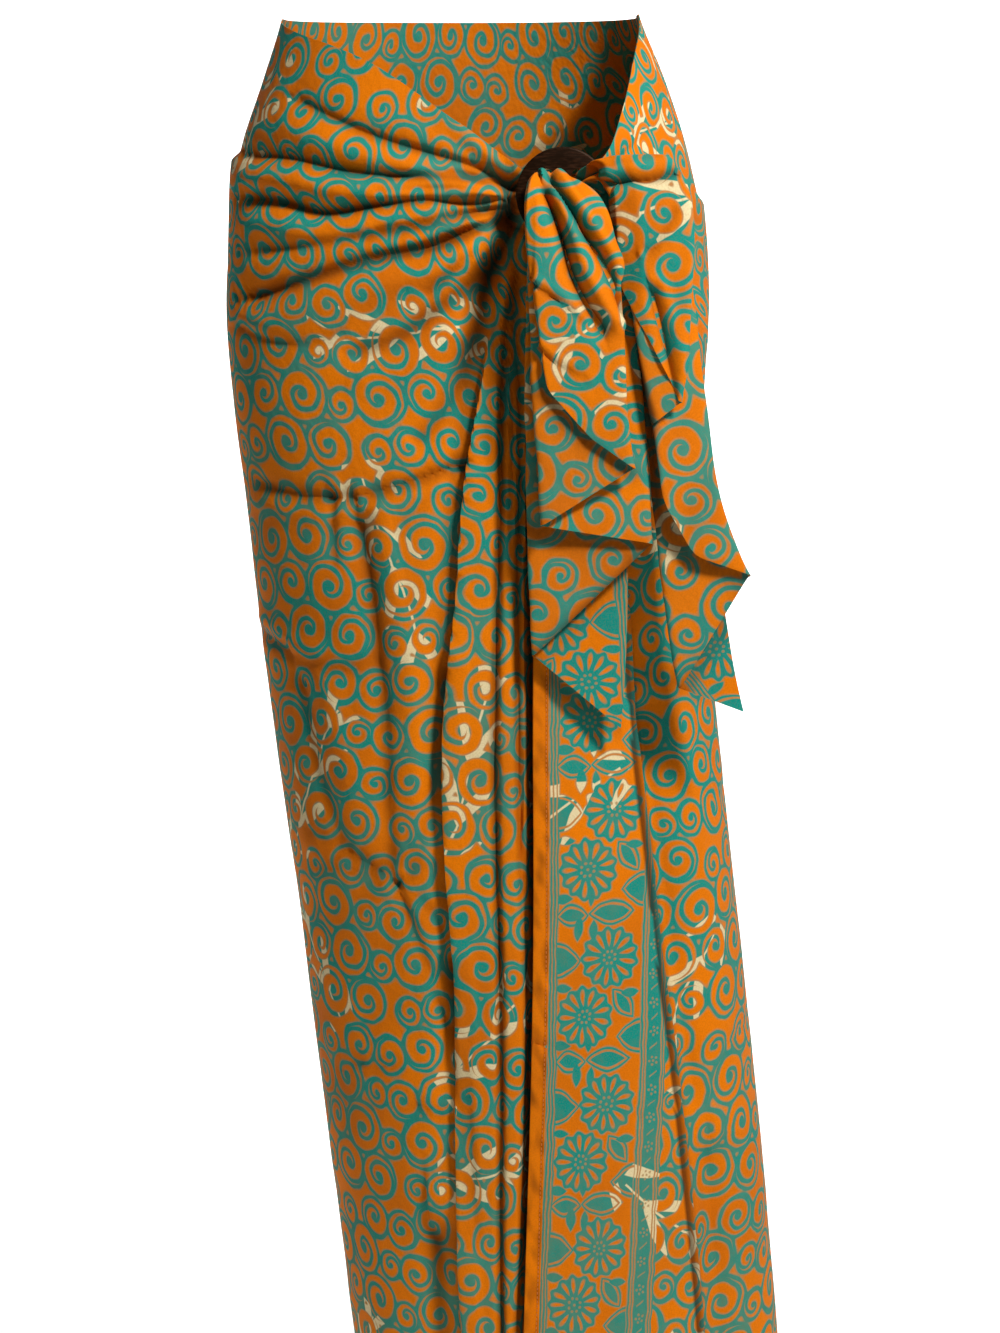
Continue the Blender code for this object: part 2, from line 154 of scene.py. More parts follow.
@dataclass(frozen=True)
class WornForm:
    """Rings of the worn sarong: a superellipse at each height, in millimetres.

    Each section gives the height, then how far the ring reaches to the left, right, front and back.
    """

    power: float = 2.2
    sections: tuple[tuple[float, ...], ...] = (
        (-1200, -55, 250, -136, 131), (-957, -80, 234, -130, 127), (-860, -91, 226, -127, 126),
        (-740, -105, 214, -124, 125), (-630, -117, 201, -122, 125), (-530, -130, 189, -120, 125),
        (-430, -142, 178, -118, 126), (-330, -152, 170, -116, 127), (-260, -160, 171, -114, 126),
        (-190, -164, 173, -111, 122), (-140, -160, 168, -107, 116), (-90, -153, 158, -101, 108),
        (-40, -136, 141, -92, 97), (0, -123, 124, -84, 88), (30, -117, 116, -78, 82),
    )

    def reach(self, side: Ring, z: Array) -> Array:
        """How far the ring reaches to a side at each height."""
        return read_rows(self.sections, side, z)

    def x_at(self, angle: Array, z: Array) -> Array:
        """x at an angle: the centre plus the half width times the angle's sine to 2 over the power."""
        left, right = self.reach(Ring.LEFT, z), self.reach(Ring.RIGHT, z)
        return (left + right) / 2 + (right - left) / 2 * signed_power(np.sin(angle), 2 / self.power)

    def angle_at(self, x: Array, z: Array) -> Array:
        """Angle from the front at which x is reached, the inverse of x_at.

        Args:
            x: Points' x.
            z: Points' z.

        Returns:
            Angles in radians.
        """
        left, right = self.reach(Ring.LEFT, z), self.reach(Ring.RIGHT, z)
        share = (x - (left + right) / 2) / ((right - left) / 2)
        return np.arcsin(np.clip(signed_power(share, self.power / 2), -1.0, 1.0))

    def point(self, angle: Array, z: Array, height: Array) -> Array:
        """Point of the ring moved outward along the ring's normal.

        Args:
            angle: Angle round the ring, nought at the front.
            z: Height.
            height: Distance outward.

        Returns:
            Points with x, y and z in the last axis.
        """
        x = self.x_at(angle, z)
        depth = np.where(np.cos(angle) > 0, -self.reach(Ring.FRONT, z), self.reach(Ring.BACK, z))
        y = -depth * signed_power(np.cos(angle), 2 / self.power)
        width = (self.reach(Ring.RIGHT, z) - self.reach(Ring.LEFT, z)) / 2
        nx = signed_power(np.sin(angle), 2 - 2 / self.power) / width
        ny = -signed_power(np.cos(angle), 2 - 2 / self.power) / depth
        size = np.hypot(nx, ny)
        return np.stack([x + height * nx / size, y + height * ny / size, z + 0 * x], axis=-1)


@dataclass(frozen=True)
class FrontLines:
    """x of the lines that run down the front at each height, from the proud pleat to the border's fold.

    PLEAT is the left edge of the proud front fold, SECOND and THIRD the turned-under pleats beside it, LAP
    the short edge of the cloth on top, UNDERLAP the end of the cloth beneath it and BORDER the fold beyond
    the flowers.
    """

    rows: tuple[tuple[float, ...], ...] = (
        (-1200, 22, 38, 34, 38, 92, 190), (-900, 6, 30, 40, 45, 98, 164),
        (-810, 2, 29, 46, 47, 100, 155), (-720, 0, 29, 47.5, 49, 102, 145),
        (-640, 0, 28, 46.5, 50, 102, 134), (-580, -5, 26, 43, 50, 102, 127),
        (-470, -7, 24.5, 40, 49, 102, 114), (-390, 1, 26, 39.5, 49, 101, 108),
        (-320, 6, 28, 41, 50, 100, 104), (-260, 14, 29, 40.5, 51, 98, 104),
        (-215, 20, 32, 39, 54, 93, 106), (-175, 27, 37, 41, 61, 82, 108),
        (-140, 37, 42, 46, 70, 70, 110), (-110, 48, 52, 56, 76, 62, 112), (0, 60, 64, 70, 90, 60, 115),
    )

    def at(self, line: Line, z: Array) -> Array:
        """One line's x at each height."""
        return read_rows(self.rows, line, z)


@dataclass(frozen=True)
class Crease:
    """One fold drawn on a panel, along a smooth curve through points in x and z.

    left_over is the share of the depth that is left at the far end, and lip the height of the soft ridge
    beside it.
    """

    name: str
    depth: float
    width: float
    left_over: float
    path: Path
    lip: float = 0.4

    def height(self, x: Array, z: Array) -> Array:
        """Trough with a sharp bottom and a soft lip on one side.

        The depth falls with distance as a wide bell plus a narrow one, and shrinks towards the far end, where
        the last tenth of the crease runs out to nothing.

        Args:
            x: Points' x.
            z: Points' z.

        Returns:
            Height to add, negative in the trough.
        """
        samples = 61
        t = np.linspace(0.0, 1.0, samples)
        stations = np.linspace(0.0, 1.0, len(self.path))
        px = smooth_curve(t, stations, [p[0] for p in self.path])
        pz = smooth_curve(t, stations, [p[1] for p in self.path])
        reach = 4.5 * self.width
        total = np.zeros(np.broadcast(x, z).shape)
        near = (x > px.min() - reach) & (x < px.max() + reach)
        near &= (z > pz.min() - reach) & (z < pz.max() + reach)
        if not near.any():
            return total
        qx, qz = x[near], z[near]
        gap = np.hypot(qx[:, None] - px, qz[:, None] - pz)
        i = np.argmin(gap, axis=1)
        tx, tz = np.gradient(px)[i], np.gradient(pz)[i]
        across = (tx * (qz - pz[i]) - tz * (qx - px[i])) / np.hypot(tx, tz)
        between_ends = (i > 0) & (i < samples - 1)
        distance = np.where(between_ends, np.abs(across), gap[np.arange(len(qx)), i])
        spread = self.width * (1 + 0.5 * t[i])
        strength = self.depth * (1 - (1 - self.left_over) * t[i]) * ease((1 - t[i]) / 0.1)
        trough = 0.5 * bell(distance, 0, spread) + 0.5 * bell(distance, 0, 0.35 * spread)
        lip = self.lip * bell(np.sign(across) * distance, 1.6 * spread, 0.9 * spread)
        total[near] = strength * (lip - trough)
        return total


def creases(rows: list[tuple]) -> list[Crease]:
    """Creases from rows of name, depth, width, strength left at the far end, path and perhaps a lip."""
    return [Crease(*row) for row in rows]


def creased(folds: list[Crease], x: Array, z: Array) -> Array:
    """Heights of all the folds added up."""
    return sum((fold.height(x, z) for fold in folds), np.zeros(x.shape))


# Meshes


def normals_of(points: Array) -> Array:
    """Unit normals of a grid: the cross product of its steps down and across."""
    normal = np.cross(np.gradient(points, axis=0), np.gradient(points, axis=1))
    return normal / np.maximum(np.linalg.norm(normal, axis=-1, keepdims=True), 1e-9)


def arc_along(points: Array, axis: int) -> Array:
    """Length along a grid, summed step by step.

    Args:
        points: Grid of points.
        axis: Nought to go down the rows, one to go across the columns.

    Returns:
        Distance of each point from the first of its row or column.
    """
    step = np.linalg.norm(np.diff(points, axis=axis), axis=-1)
    pad = [(0, 0), (0, 0)]
    pad[axis] = (1, 0)
    return np.cumsum(np.pad(step, pad), axis=axis)


def settled(value: Array, reach: int) -> Array:
    """Mean of each point with its neighbours up and down the grid, so creases do not pull the print about."""
    padded = np.pad(value, ((reach + 1, reach), (0, 0)), mode="edge").cumsum(0)
    return (padded[2 * reach + 1:] - padded[:-2 * reach - 1]) / (2 * reach + 1)


def softened(value: Array) -> Array:
    """Weighted mean of each point and its neighbours: one, two, one each way.

    Args:
        value: Grid of values.

    Returns:
        The softened grid, of the same size.
    """
    wide = np.pad(value, 1, mode="edge")
    wide = (wide[:-2] + 2 * wide[1:-1] + wide[2:]) / 4
    return (wide[:, :-2] + 2 * wide[:, 1:-1] + wide[:, 2:]) / 4


def hollow_of(height: Array, reach: int, scale: float) -> Array:
    """How deep each point of a height grid lies below the mean of its neighbours.

    Args:
        height: Grid of heights in millimetres.
        reach: Points each way that the mean takes in.
        scale: Depth that gets the full painted shade.

    Returns:
        Nought to one, the painted shade for the folds.
    """
    padded = np.pad(height, reach, mode="edge")
    total = np.pad(padded.cumsum(0).cumsum(1), ((1, 0), (1, 0)))
    n = 2 * reach + 1
    mean = (total[n:, n:] - total[:-n, n:] - total[n:, :-n] + total[:-n, :-n]) / (n * n)
    return softened(softened(np.clip((mean - height) / scale, 0.0, 1.0)))


def under_edges(points: Array, edges: tuple[Path, ...], reach: float) -> Array:
    """Painted shadow: how closely points lie below the folded edges of a layer over them.

    Args:
        points: Grid of points.
        edges: Runs of x and z along each edge.
        reach: Distance in millimetres at which the painted shadow has gone.

    Returns:
        One at an edge, falling to nought at the reach, and nought above the edges.
    """
    x, z = points[..., 0], points[..., 2]
    shade = np.zeros(x.shape)
    for run in edges:
        for (x0, z0), (x1, z1) in zip(run[:-1], run[1:]):
            dx, dz = x1 - x0, z1 - z0
            size = math.hypot(dx, dz)
            along = np.clip(((x - x0) * dx + (z - z0) * dz) / size**2, 0.0, 1.0)
            away = np.hypot(x - x0 - along * dx, z - z0 - along * dz)
            over = ((z - z0) * dx - (x - x0) * dz) * np.sign(dx + 1e-9) / size
            shade = np.maximum(shade, ease(1.0 - away / reach) * ease((1.5 - over) / 3.0))
    return softened(shade)


def place_piece(name: str, mesh: bpy.types.Mesh) -> bpy.types.Object:
    """Links an object for the mesh at the origin.

    Args:
        name: Name of the object.
        mesh: Its mesh.

    Returns:
        The object.
    """
    piece = bpy.data.objects.new(name, mesh)
    bpy.context.scene.collection.objects.link(piece)
    return piece


@dataclass
class ClothMesh:
    """Closed wall of cloth between two grids, with a map of the flat cloth on it.

    shift is added to the map across each cell, row by row, so the print can skip what a fold hides.
    The shade mask, nought to one, is painted shade: how far the colour at each point is darkened in
    folds and under the layers over it.
    """

    name: str
    face: Array
    lining: Array
    flat: Array
    shift: Array | None = None
    painted_shade_mask: Array | None = None
    sharp_angle: float = 60.0

    def _quads(self) -> list[Array]:
        """Corners of the outer faces, of the inner faces and of the rim between them.

        Returns:
            Arrays with the four corners of each face, one array for each set.
        """
        rows, cols = self.face.shape[:2]
        inward = rows * cols
        corner = (np.arange(rows - 1)[:, None] * cols + np.arange(cols - 1)[None, :]).ravel()
        outer = np.stack([corner, corner + cols, corner + cols + 1, corner + 1], axis=1)
        inner = np.stack([corner, corner + 1, corner + cols + 1, corner + cols], axis=1) + inward
        rim = np.concatenate([
            np.arange(cols), np.arange(1, rows) * cols + cols - 1,
            (rows - 1) * cols + np.arange(cols - 2, -1, -1), np.arange(rows - 2, 0, -1) * cols])
        after = np.roll(rim, -1)
        return [outer, inner, np.stack([rim, after, after + inward, rim + inward], axis=1)]

    def _print_map(self, quads: Array, cells: int) -> Array:
        """Place on the flat cloth at every corner, in metres.

        Args:
            quads: Corners of all the faces.
            cells: Number of outer faces, and of inner ones.

        Returns:
            Two numbers for each corner of each face.
        """
        flat = np.concatenate([self.flat.reshape(-1, 2)] * 2)[quads] * MM
        if self.shift is not None:
            upper, lower = self.shift[:-1].ravel() * MM, self.shift[1:].ravel() * MM
            flat[:cells, :, 0] += np.stack([upper, lower, lower, upper], axis=1)
            flat[cells: 2 * cells, :, 0] += np.stack([upper, upper, lower, lower], axis=1)
        return flat

    def build(self, finishes: list[bpy.types.Material]) -> bpy.types.Object:
        """Makes the object.

        Args:
            finishes: Material of the right side, then of the wrong side.

        Returns:
            The linked object, at the origin.
        """
        parts = self._quads()
        quads = np.concatenate(parts)
        points = np.concatenate([self.face.reshape(-1, 3), self.lining.reshape(-1, 3)]) * MM
        mesh = bpy.data.meshes.new(self.name)
        mesh.vertices.add(len(points))
        mesh.vertices.foreach_set("co", points.ravel())
        mesh.loops.add(quads.size)
        mesh.loops.foreach_set("vertex_index", quads.ravel())
        mesh.polygons.add(len(quads))
        mesh.polygons.foreach_set("loop_start", np.arange(len(quads)) * 4)
        mesh.polygons.foreach_set("material_index", np.repeat([0, 1, 0], [len(part) for part in parts]))
        layer = mesh.uv_layers.new(name="cloth")
        layer.uv.foreach_set("vector", self._print_map(quads, len(parts[0])).astype(np.float32).ravel())
        for finish in finishes:
            mesh.materials.append(finish)
        # Painted shade: the mask that darkens the colour in folds and under layers, on both sides of the
        # wall.
        depth = mesh.attributes.new("painted_shade_mask", "FLOAT", "POINT")
        painted_shade_mask = np.zeros(len(points) // 2) if self.painted_shade_mask is None else self.painted_shade_mask.ravel()
        depth.data.foreach_set("value", np.tile(painted_shade_mask, 2).astype(np.float32))
        mesh.polygons.foreach_set("use_smooth", np.ones(len(quads), bool))
        mesh.update(calc_edges=True)
        mesh.validate()
        mesh.set_sharp_from_angle(angle=math.radians(self.sharp_angle))
        LOG.info("%s: %d faces", self.name, len(mesh.polygons))
        return place_piece(self.name, mesh)


# Shader fields and finishes


class Field:
    """A number that varies over the surface, as a socket that can be added, multiplied and compared."""

    def __init__(self, tree: bpy.types.NodeTree, socket: bpy.types.NodeSocket) -> None:
        """Keeps the tree and the socket."""
        self.tree = tree
        self.socket = socket

    def _math(self, operation: str, *values: "Field | float") -> "Field":
        """A Math node with these inputs."""
        node = add_node(self.tree, "ShaderNodeMath", dict(enumerate(values)), operation=operation)
        return Field(self.tree, node.outputs[0])

    def __add__(self, other: "Field | float") -> "Field":
        """Sum."""
        return self._math("ADD", self, other)

    def __sub__(self, other: "Field | float") -> "Field":
        """Difference."""
        return self._math("SUBTRACT", self, other)

    def __rsub__(self, other: float) -> "Field":
        """Difference from a number."""
        return self._math("SUBTRACT", other, self)

    def __mul__(self, other: "Field | float") -> "Field":
        """Product."""
        return self._math("MULTIPLY", self, other)

    def __truediv__(self, other: "Field | float") -> "Field":
        """Quotient."""
        return self._math("DIVIDE", self, other)

    def abs(self) -> "Field":
        """Size without sign."""
        return self._math("ABSOLUTE", self)

    def fract(self) -> "Field":
        """Part after the whole number."""
        return self._math("FRACT", self)

    def floor(self) -> "Field":
        """Whole number below."""
        return self._math("FLOOR", self)

    def sin(self) -> "Field":
        """Sine."""
        return self._math("SINE", self)

    def cos(self) -> "Field":
        """Cosine."""
        return self._math("COSINE", self)

    def min(self, other: "Field | float") -> "Field":
        """Lesser of two: the union of two shapes."""
        return self._math("MINIMUM", self, other)

    def max(self, other: "Field | float") -> "Field":
        """Greater of two: the overlap of two shapes."""
        return self._math("MAXIMUM", self, other)

    def soft_min(self, other: "Field | float", blend: float) -> "Field":
        """Lesser of two with a rounded join."""
        return self._math("SMOOTH_MIN", self, other, blend)

    def above(self, level: float) -> "Field":
        """One where the value is over the level."""
        return self._math("GREATER_THAN", self, level)

    def below(self, level: "Field") -> "Field":
        """One where the value is under the level."""
        return self._math("LESS_THAN", self, level)

    def turn(self, other: "Field") -> "Field":
        """Turns round nought of the point whose second coordinate is self and first is other."""
        return self._math("ARCTAN2", self, other) * (0.5 / math.pi)

    def length(self, other: "Field") -> "Field":
        """Distance of the point with these coordinates from nought."""
        return self._math("SQRT", self * self + other * other)

    def inside(self, soft: float) -> "Field":
        """One inside a shape whose edge is at nought, with an edge that is soft over this distance.

        Args:
            soft: Distance over which the edge is soft.

        Returns:
            Field from nought outside to one inside.
        """
        share = self._math("MULTIPLY_ADD", self, -0.5 / soft, 0.5)
        share.socket.node.use_clamp = True
        return share


def add_node(
        tree: bpy.types.NodeTree, kind: str, values: dict | None = None, **settings: str) -> bpy.types.Node:
    """Adds a node to a tree.

    Args:
        tree: Tree to add to.
        kind: The node's type.
        values: For an input's name or number, a field or socket to link, or a plain value.
        settings: The node's own properties, set before its inputs.

    Returns:
        The node.
    """
    node = tree.nodes.new(kind)
    for key, value in settings.items():
        setattr(node, key, value)
    return fill(tree, node, values or {})


def fill(tree: bpy.types.NodeTree, node: bpy.types.Node, values: dict) -> bpy.types.Node:
    """Fills a node's inputs.

    Args:
        tree: Tree that holds the node.
        node: Node to fill.
        values: For an input's name or number, a field or socket to link, or a plain value.

    Returns:
        The node.
    """
    for key, value in values.items():
        source = value.socket if isinstance(value, Field) else value
        if isinstance(source, bpy.types.NodeSocket):
            tree.links.new(source, node.inputs[key])
        else:
            node.inputs[key].default_value = source
    return node


def new_material(name: str) -> tuple[bpy.types.Material, bpy.types.NodeTree, bpy.types.Node]:
    """A material with its node tree and its shader.

    Args:
        name: Name of the material.

    Returns:
        The material, its node tree and its shader node.
    """
    material = bpy.data.materials.new(name)
    material.use_nodes = True
    return material, material.node_tree, material.node_tree.nodes["Principled BSDF"]


@dataclass(frozen=True)
class PlainFinish:
    """One colour all over, with any other inputs of the shader by name."""

    name: str
    colour: Colour
    others: tuple[tuple[str, object], ...] = ()

    def build(self) -> bpy.types.Material:
        """Makes the material.

        Returns:
            The material.
        """
        material, tree, shader = new_material(self.name)
        fill(tree, shader, {"Base Color": (*self.colour, 1.0), **dict(self.others)})
        return material


@dataclass(frozen=True)
class BatikInks:
    """Colours of the dyed cloth, and the colour of the painted shade, as linear red, green and blue."""

    orange: Colour = (0.86, 0.205, 0.0)
    orange_deep: Colour = (0.68, 0.155, 0.002)
    teal: Colour = (0.004, 0.285, 0.225)
    teal_worn: Colour = (0.10, 0.25, 0.16)
    tan: Colour = (0.44, 0.25, 0.10)
    cream: Colour = (0.83, 0.68, 0.38)
    thread: Colour = (0.26, 0.08, 0.0)
    # shade is painted shade: the colour that folds and cloth under other layers are darkened towards.
    shade: Colour = (0.025, 0.006, 0.002)
    wrong_side: Colour = (0.40, 0.20, 0.06)


def spiral_places(wide: float, tall: float, count: tuple[int, int]) -> list[tuple[float, float, float]]:
    """Centres and radii of the spirals in one repeat of the print.

    Discs of mixed sizes start on a staggered lattice and push each other apart, round the repeat's edges too.
    Then each grows or shrinks until its rim shares a line with its nearest neighbour's.

    Args:
        wide: Width of the repeat in millimetres.
        tall: Height of the repeat in millimetres.
        count: Spirals across and down.

    Returns:
        x, y and radius of each spiral.
    """
    sizes, smallest, largest, shared = [20.0, 15.5, 12.5, 11.0], 9.5, 21.0, 3.4
    pushes, growths, pace = 400, 80, 0.3
    rng = np.random.default_rng(12)
    column, row = np.meshgrid(np.arange(count[0]), np.arange(count[1]))
    place = np.stack([(column + 0.5 * (row % 2)) / count[0], row / count[1]], axis=-1).reshape(-1, 2)
    place = place * (wide, tall) + rng.uniform(-5, 5, place.shape)
    radius = rng.permutation(np.resize(sizes, len(place)) + rng.uniform(-0.6, 0.6, len(place)))
    for turn in range(pushes + growths):
        apart = place[:, None] - place[None]
        apart -= np.round(apart / (wide, tall)) * (wide, tall)
        distance = np.hypot(apart[..., 0], apart[..., 1]) + np.eye(len(place)) * 1e6
        space = distance - radius[:, None] - radius[None] + shared
        if turn < pushes:
            push = np.maximum(-space, 0)[..., None] * apart / distance[..., None]
            place = place + pace * push.sum(axis=1)
        else:
            radius = np.clip(radius + pace * space.min(axis=1), smallest, largest)
    return [(float(x % wide), float(y % tall), float(r)) for (x, y), r in zip(place, radius)]


@dataclass
class BatikPrint:
    """The print in a node tree, worked out in millimetres across and down the flat cloth.

    A shape is the distance outside its edge, so the lesser of two joins shapes and the greater keeps their
    overlap.
    """

    tree: bpy.types.NodeTree
    inks: BatikInks
    repeat: tuple[float, float] = (124.0, 128.0)
    spiral_count: tuple[int, int] = (4, 4)
    flower_repeat: float = 101.0
    flower_start: float = 470.0
    border_end: float = 103.0
    wear_start: float = 420.0
    far_off: float = 40.0

    def __post_init__(self) -> None:
        """Reads the map named cloth, with the slight tremor of a hand-drawn line."""
        self.map = add_node(self.tree, "ShaderNodeUVMap", uv_map="cloth").outputs[0]
        place = add_node(self.tree, "ShaderNodeSeparateXYZ", {0: self.map})
        shake = add_node(self.tree, "ShaderNodeSeparateColor", {0: self._noise(70.0, 1.0, "Color")})
        self.u, self.v = (
            self._part(place, k) * 1000 + (self._part(shake, k) - 0.5) * 2.4 for k in range(2))

    def _part(self, node: bpy.types.Node, output: int | str) -> Field:
        """One output of a node as a field."""
        return Field(self.tree, node.outputs[output])

    def _noise(self, scale: float, detail: float, output: str = "Fac") -> Field:
        """Flat noise on the map, with scale waves in a metre."""
        values = {"Scale": scale, "Detail": detail, "Vector": self.map}
        return self._part(add_node(self.tree, "ShaderNodeTexNoise", values, noise_dimensions="2D"), output)

    def _vector(self, operation: str, *values: object) -> bpy.types.Node:
        """A Vector Math node with these inputs."""
        return add_node(self.tree, "ShaderNodeVectorMath", dict(enumerate(values)), operation=operation)

    def _mix(self, share: Field, low: object, high: object) -> bpy.types.NodeSocket:
        """Colour between two colours or colour sockets."""
        low, high = ((*colour, 1.0) if isinstance(colour, tuple) else colour for colour in (low, high))
        return add_node(self.tree, "ShaderNodeMix", {0: share, 6: low, 7: high}, data_type="RGBA").outputs[2]

    def _cells(self, u: Field, v: Field, cell: float, scatter: float) -> tuple[Field, ...]:
        """Scattered cells of about one size.

        Args:
            u: Millimetres across.
            v: Millimetres down.
            cell: Size of a cell in millimetres.
            scatter: How far the cells stray from a square lattice, nought to one.

        Returns:
            Place within the nearest cell in millimetres, and two random numbers of that cell.
        """
        place = add_node(self.tree, "ShaderNodeCombineXYZ", {0: u / cell, 1: v / cell}).outputs[0]
        values = {"Scale": 1.0, "Randomness": scatter, "Vector": place}
        node = add_node(self.tree, "ShaderNodeTexVoronoi", values, voronoi_dimensions="2D", feature="F1")
        middle = add_node(self.tree, "ShaderNodeSeparateXYZ", {0: node.outputs["Position"]})
        chance = add_node(self.tree, "ShaderNodeSeparateColor", {0: node.outputs["Color"]})
        x = u - self._part(middle, 0) * cell
        y = v - self._part(middle, 1) * cell
        return x, y, self._part(chance, 0), self._part(chance, 1)

    def _nearest_spiral(self) -> tuple[Field, Field, Field, Field, Field]:
        """The spiral that a point belongs to.

        Returns:
            Distance outside its rim, distance outside all rims with their joins rounded, x and y from its
            centre, and its radius.
        """
        wide, tall = self.repeat
        flat = add_node(self.tree, "ShaderNodeCombineXYZ", {0: self.u, 1: self.v}).outputs[0]
        best, joined, chosen = None, None, None
        for x0, y0, radius in spiral_places(wide, tall, self.spiral_count):
            apart = self._vector("SUBTRACT", flat, (x0, y0, 0.0)).outputs[0]
            half = (wide / 2, tall / 2, 1.0)
            place = self._vector("WRAP", apart, half, tuple(-side for side in half)).outputs[0]
            gap = self._part(self._vector("LENGTH", place), "Value") - radius
            entry = self._vector("ADD", place, (0.0, 0.0, radius)).outputs[0]
            if best is None:
                best, joined, chosen = gap, gap, entry
                continue
            values = {0: gap.below(best), 4: chosen, 5: entry}
            chosen = add_node(self.tree, "ShaderNodeMix", values, data_type="VECTOR").outputs[1]
            joined = joined.soft_min(gap, 4.5)
            best = best.min(gap)
        split = add_node(self.tree, "ShaderNodeSeparateXYZ", {0: chosen})
        return best, joined, *(self._part(split, k) for k in range(3))

    def _spirals(self) -> Field:
        """Distance outside the dyed spirals.

        Each spiral is a closed rim with an arm winding in from it to a round end. Its phase is the turns left
        to the rim less the angle, and the arm is where the phase is near a half. The rims of neighbours run
        into one another by a soft minimum of the distances outside them. Half the spirals wind the other way.

        Returns:
            Field of the distance, below nought inside them.
        """
        wide, tall = self.repeat
        gap, joined, x, y, radius = self._nearest_spiral()
        r = gap + radius
        chance = (radius * 37.7 + ((self.u - x) / wide + (self.v - y) / tall).floor() * 0.31).fract()
        hand = (radius * 91.3).fract().above(0.5) * 2.0 - 1.0
        angle = y.turn(x) * hand + chance
        turns = radius * 0.054 + 0.64
        phase = (turns * (1.0 - r / radius) - angle).fract()
        arm = (phase - 0.5).abs() * radius / turns - (radius * 0.04 + 0.95)
        blob, rim = r - radius * 0.2, -2.9 - gap
        return arm.min(blob).min(rim).max(joined)

    def _leaf(self, x: Field, y: Field, length: float, width: float) -> Field:
        """Distance outside a pointed leaf: its half width falls with the square of the way along it."""
        along = x / length
        return y.abs() - (1.0 - along * along) * width

    def _banded(self, leaf: Field) -> Field:
        """A leaf with a lighter ring left between its outline and its core."""
        return leaf.max(0.75 - (leaf + 2.7).abs())

    def _striped(self, middle: float, half: float, gaps: tuple[tuple[float, float], ...]) -> Field:
        """Distance outside a dyed stripe down the border with undyed lines in it.

        Args:
            middle: Distance of the stripe's middle from the short edge.
            half: Half its width.
            gaps: Distance from the short edge and half the width of each undyed line.

        Returns:
            The distance.
        """
        stripe = (self.u - middle).abs() - half
        for place, narrow in gaps:
            stripe = stripe.max(narrow - (self.u - place).abs())
        return stripe

    def _flower(self, x: Field, y: Field) -> tuple[Field, Field]:
        """Distance outside a round flower's dyed ground, and outside the dots in its eye.

        Thirteen teardrop petals are left undyed on a scalloped disc; eight dots and one more mark the eye.

        Args:
            x: Distance across from the flower's centre.
            y: Distance down from it.

        Returns:
            The two distances, below nought inside.
        """
        r = x.length(y)
        angle = y.turn(x)
        around = (angle * 13.0).fract() - 0.5
        across = around * r * (2 * math.pi / 13.0)
        scallop = r - 20.6 + (around * (2 * math.pi)).cos() * -1.2
        swell = (r - 7.0) * 0.115 + 0.8
        petal = (across / swell).length((r - 13.4) / 5.2) - 1.0
        ring = ((angle * 8.0).fract() - 0.5) * r * (2 * math.pi / 8.0)
        dots = (ring.length(r - 4.6) - 1.0).min(r - 0.9)
        return scallop.max(petal * -2.0), dots

    def _border(self) -> tuple[Field, Field]:
        """Distance outside the dyed parts of the border, and outside its fine pale marks.

        Two flowers stand in each repeat, with leaves round them, between two sets of stripes. Small rosettes
        and strokes follow one another in the outer set.

        Returns:
            The two distances, below nought inside.
        """
        u, repeat = self.u, self.flower_repeat
        down = (self.v - self.flower_start) / repeat + 0.5
        near, far, mid = (((down - start / repeat).fract() - 0.5) * repeat for start in (0.0, 61.0, 30.0))
        low_flower, low_dots = self._flower(u - 41.0, near)
        high_flower, high_dots = self._flower(u - 59.0, far)
        dyed = low_flower.soft_min(high_flower, 1.5)
        slant_u, slant_v = u - 70.0, near + 8.0
        for x, y, length, width in (
                (u - 59.0, mid, 17.0, 8.8), (u - 30.0, mid - 1.0, 12.5, 8.0),
                (slant_u * 0.6 + slant_v * 0.8, slant_v * 0.6 - slant_u * 0.8, 13.0, 7.2),
                (u - 19.0, far - 1.0, 19.0, 13.0), (u - 84.0, near - 15.0, 19.0, 12.5)):
            dyed = dyed.min(self._banded(self._leaf(x, y, length, width)))
        for x, y, length, width in (
                (u - 74.5, far - 25.0, 7.0, 3.2), (u - 23.0, near - 20.0, 8.0, 3.6),
                (far + 21.0, u - 35.0, 9.0, 3.6), (u - 24.0, near + 20.0, 7.0, 3.0),
                (mid - 12.0, u - 46.0, 8.0, 3.0), (mid + 12.0, u - 44.0, 7.0, 2.6)):
            dyed = dyed.min(self._leaf(x, y, length, width))
        dyed = dyed.max((u - 51.0).abs() - 32.0)
        dyed = dyed.min(self._striped(15.2, 4.4, ((12.6, 0.45), (15.2, 0.4), (17.8, 0.4))))
        dyed = dyed.min(self._striped(93.5, 10.2, ((85.6, 0.5), (87.6, 0.5), (99.6, 0.5), (101.8, 0.4))))
        x, y = u - 93.5, ((self.v / 20.0).fract() - 0.28) * 20.0
        r = x.length(y)
        five = ((y.turn(x) * 5.0).fract() - 0.5) * r * (2 * math.pi / 5.0)
        rosette = (five.length(r - 2.9) - 0.85).min(r - 0.8)
        slash = ((y - 9.6 + x * 0.7).abs() - 0.55).max(x.abs() - 2.6)
        return dyed, low_dots.min(high_dots).min(rosette).min(slash)

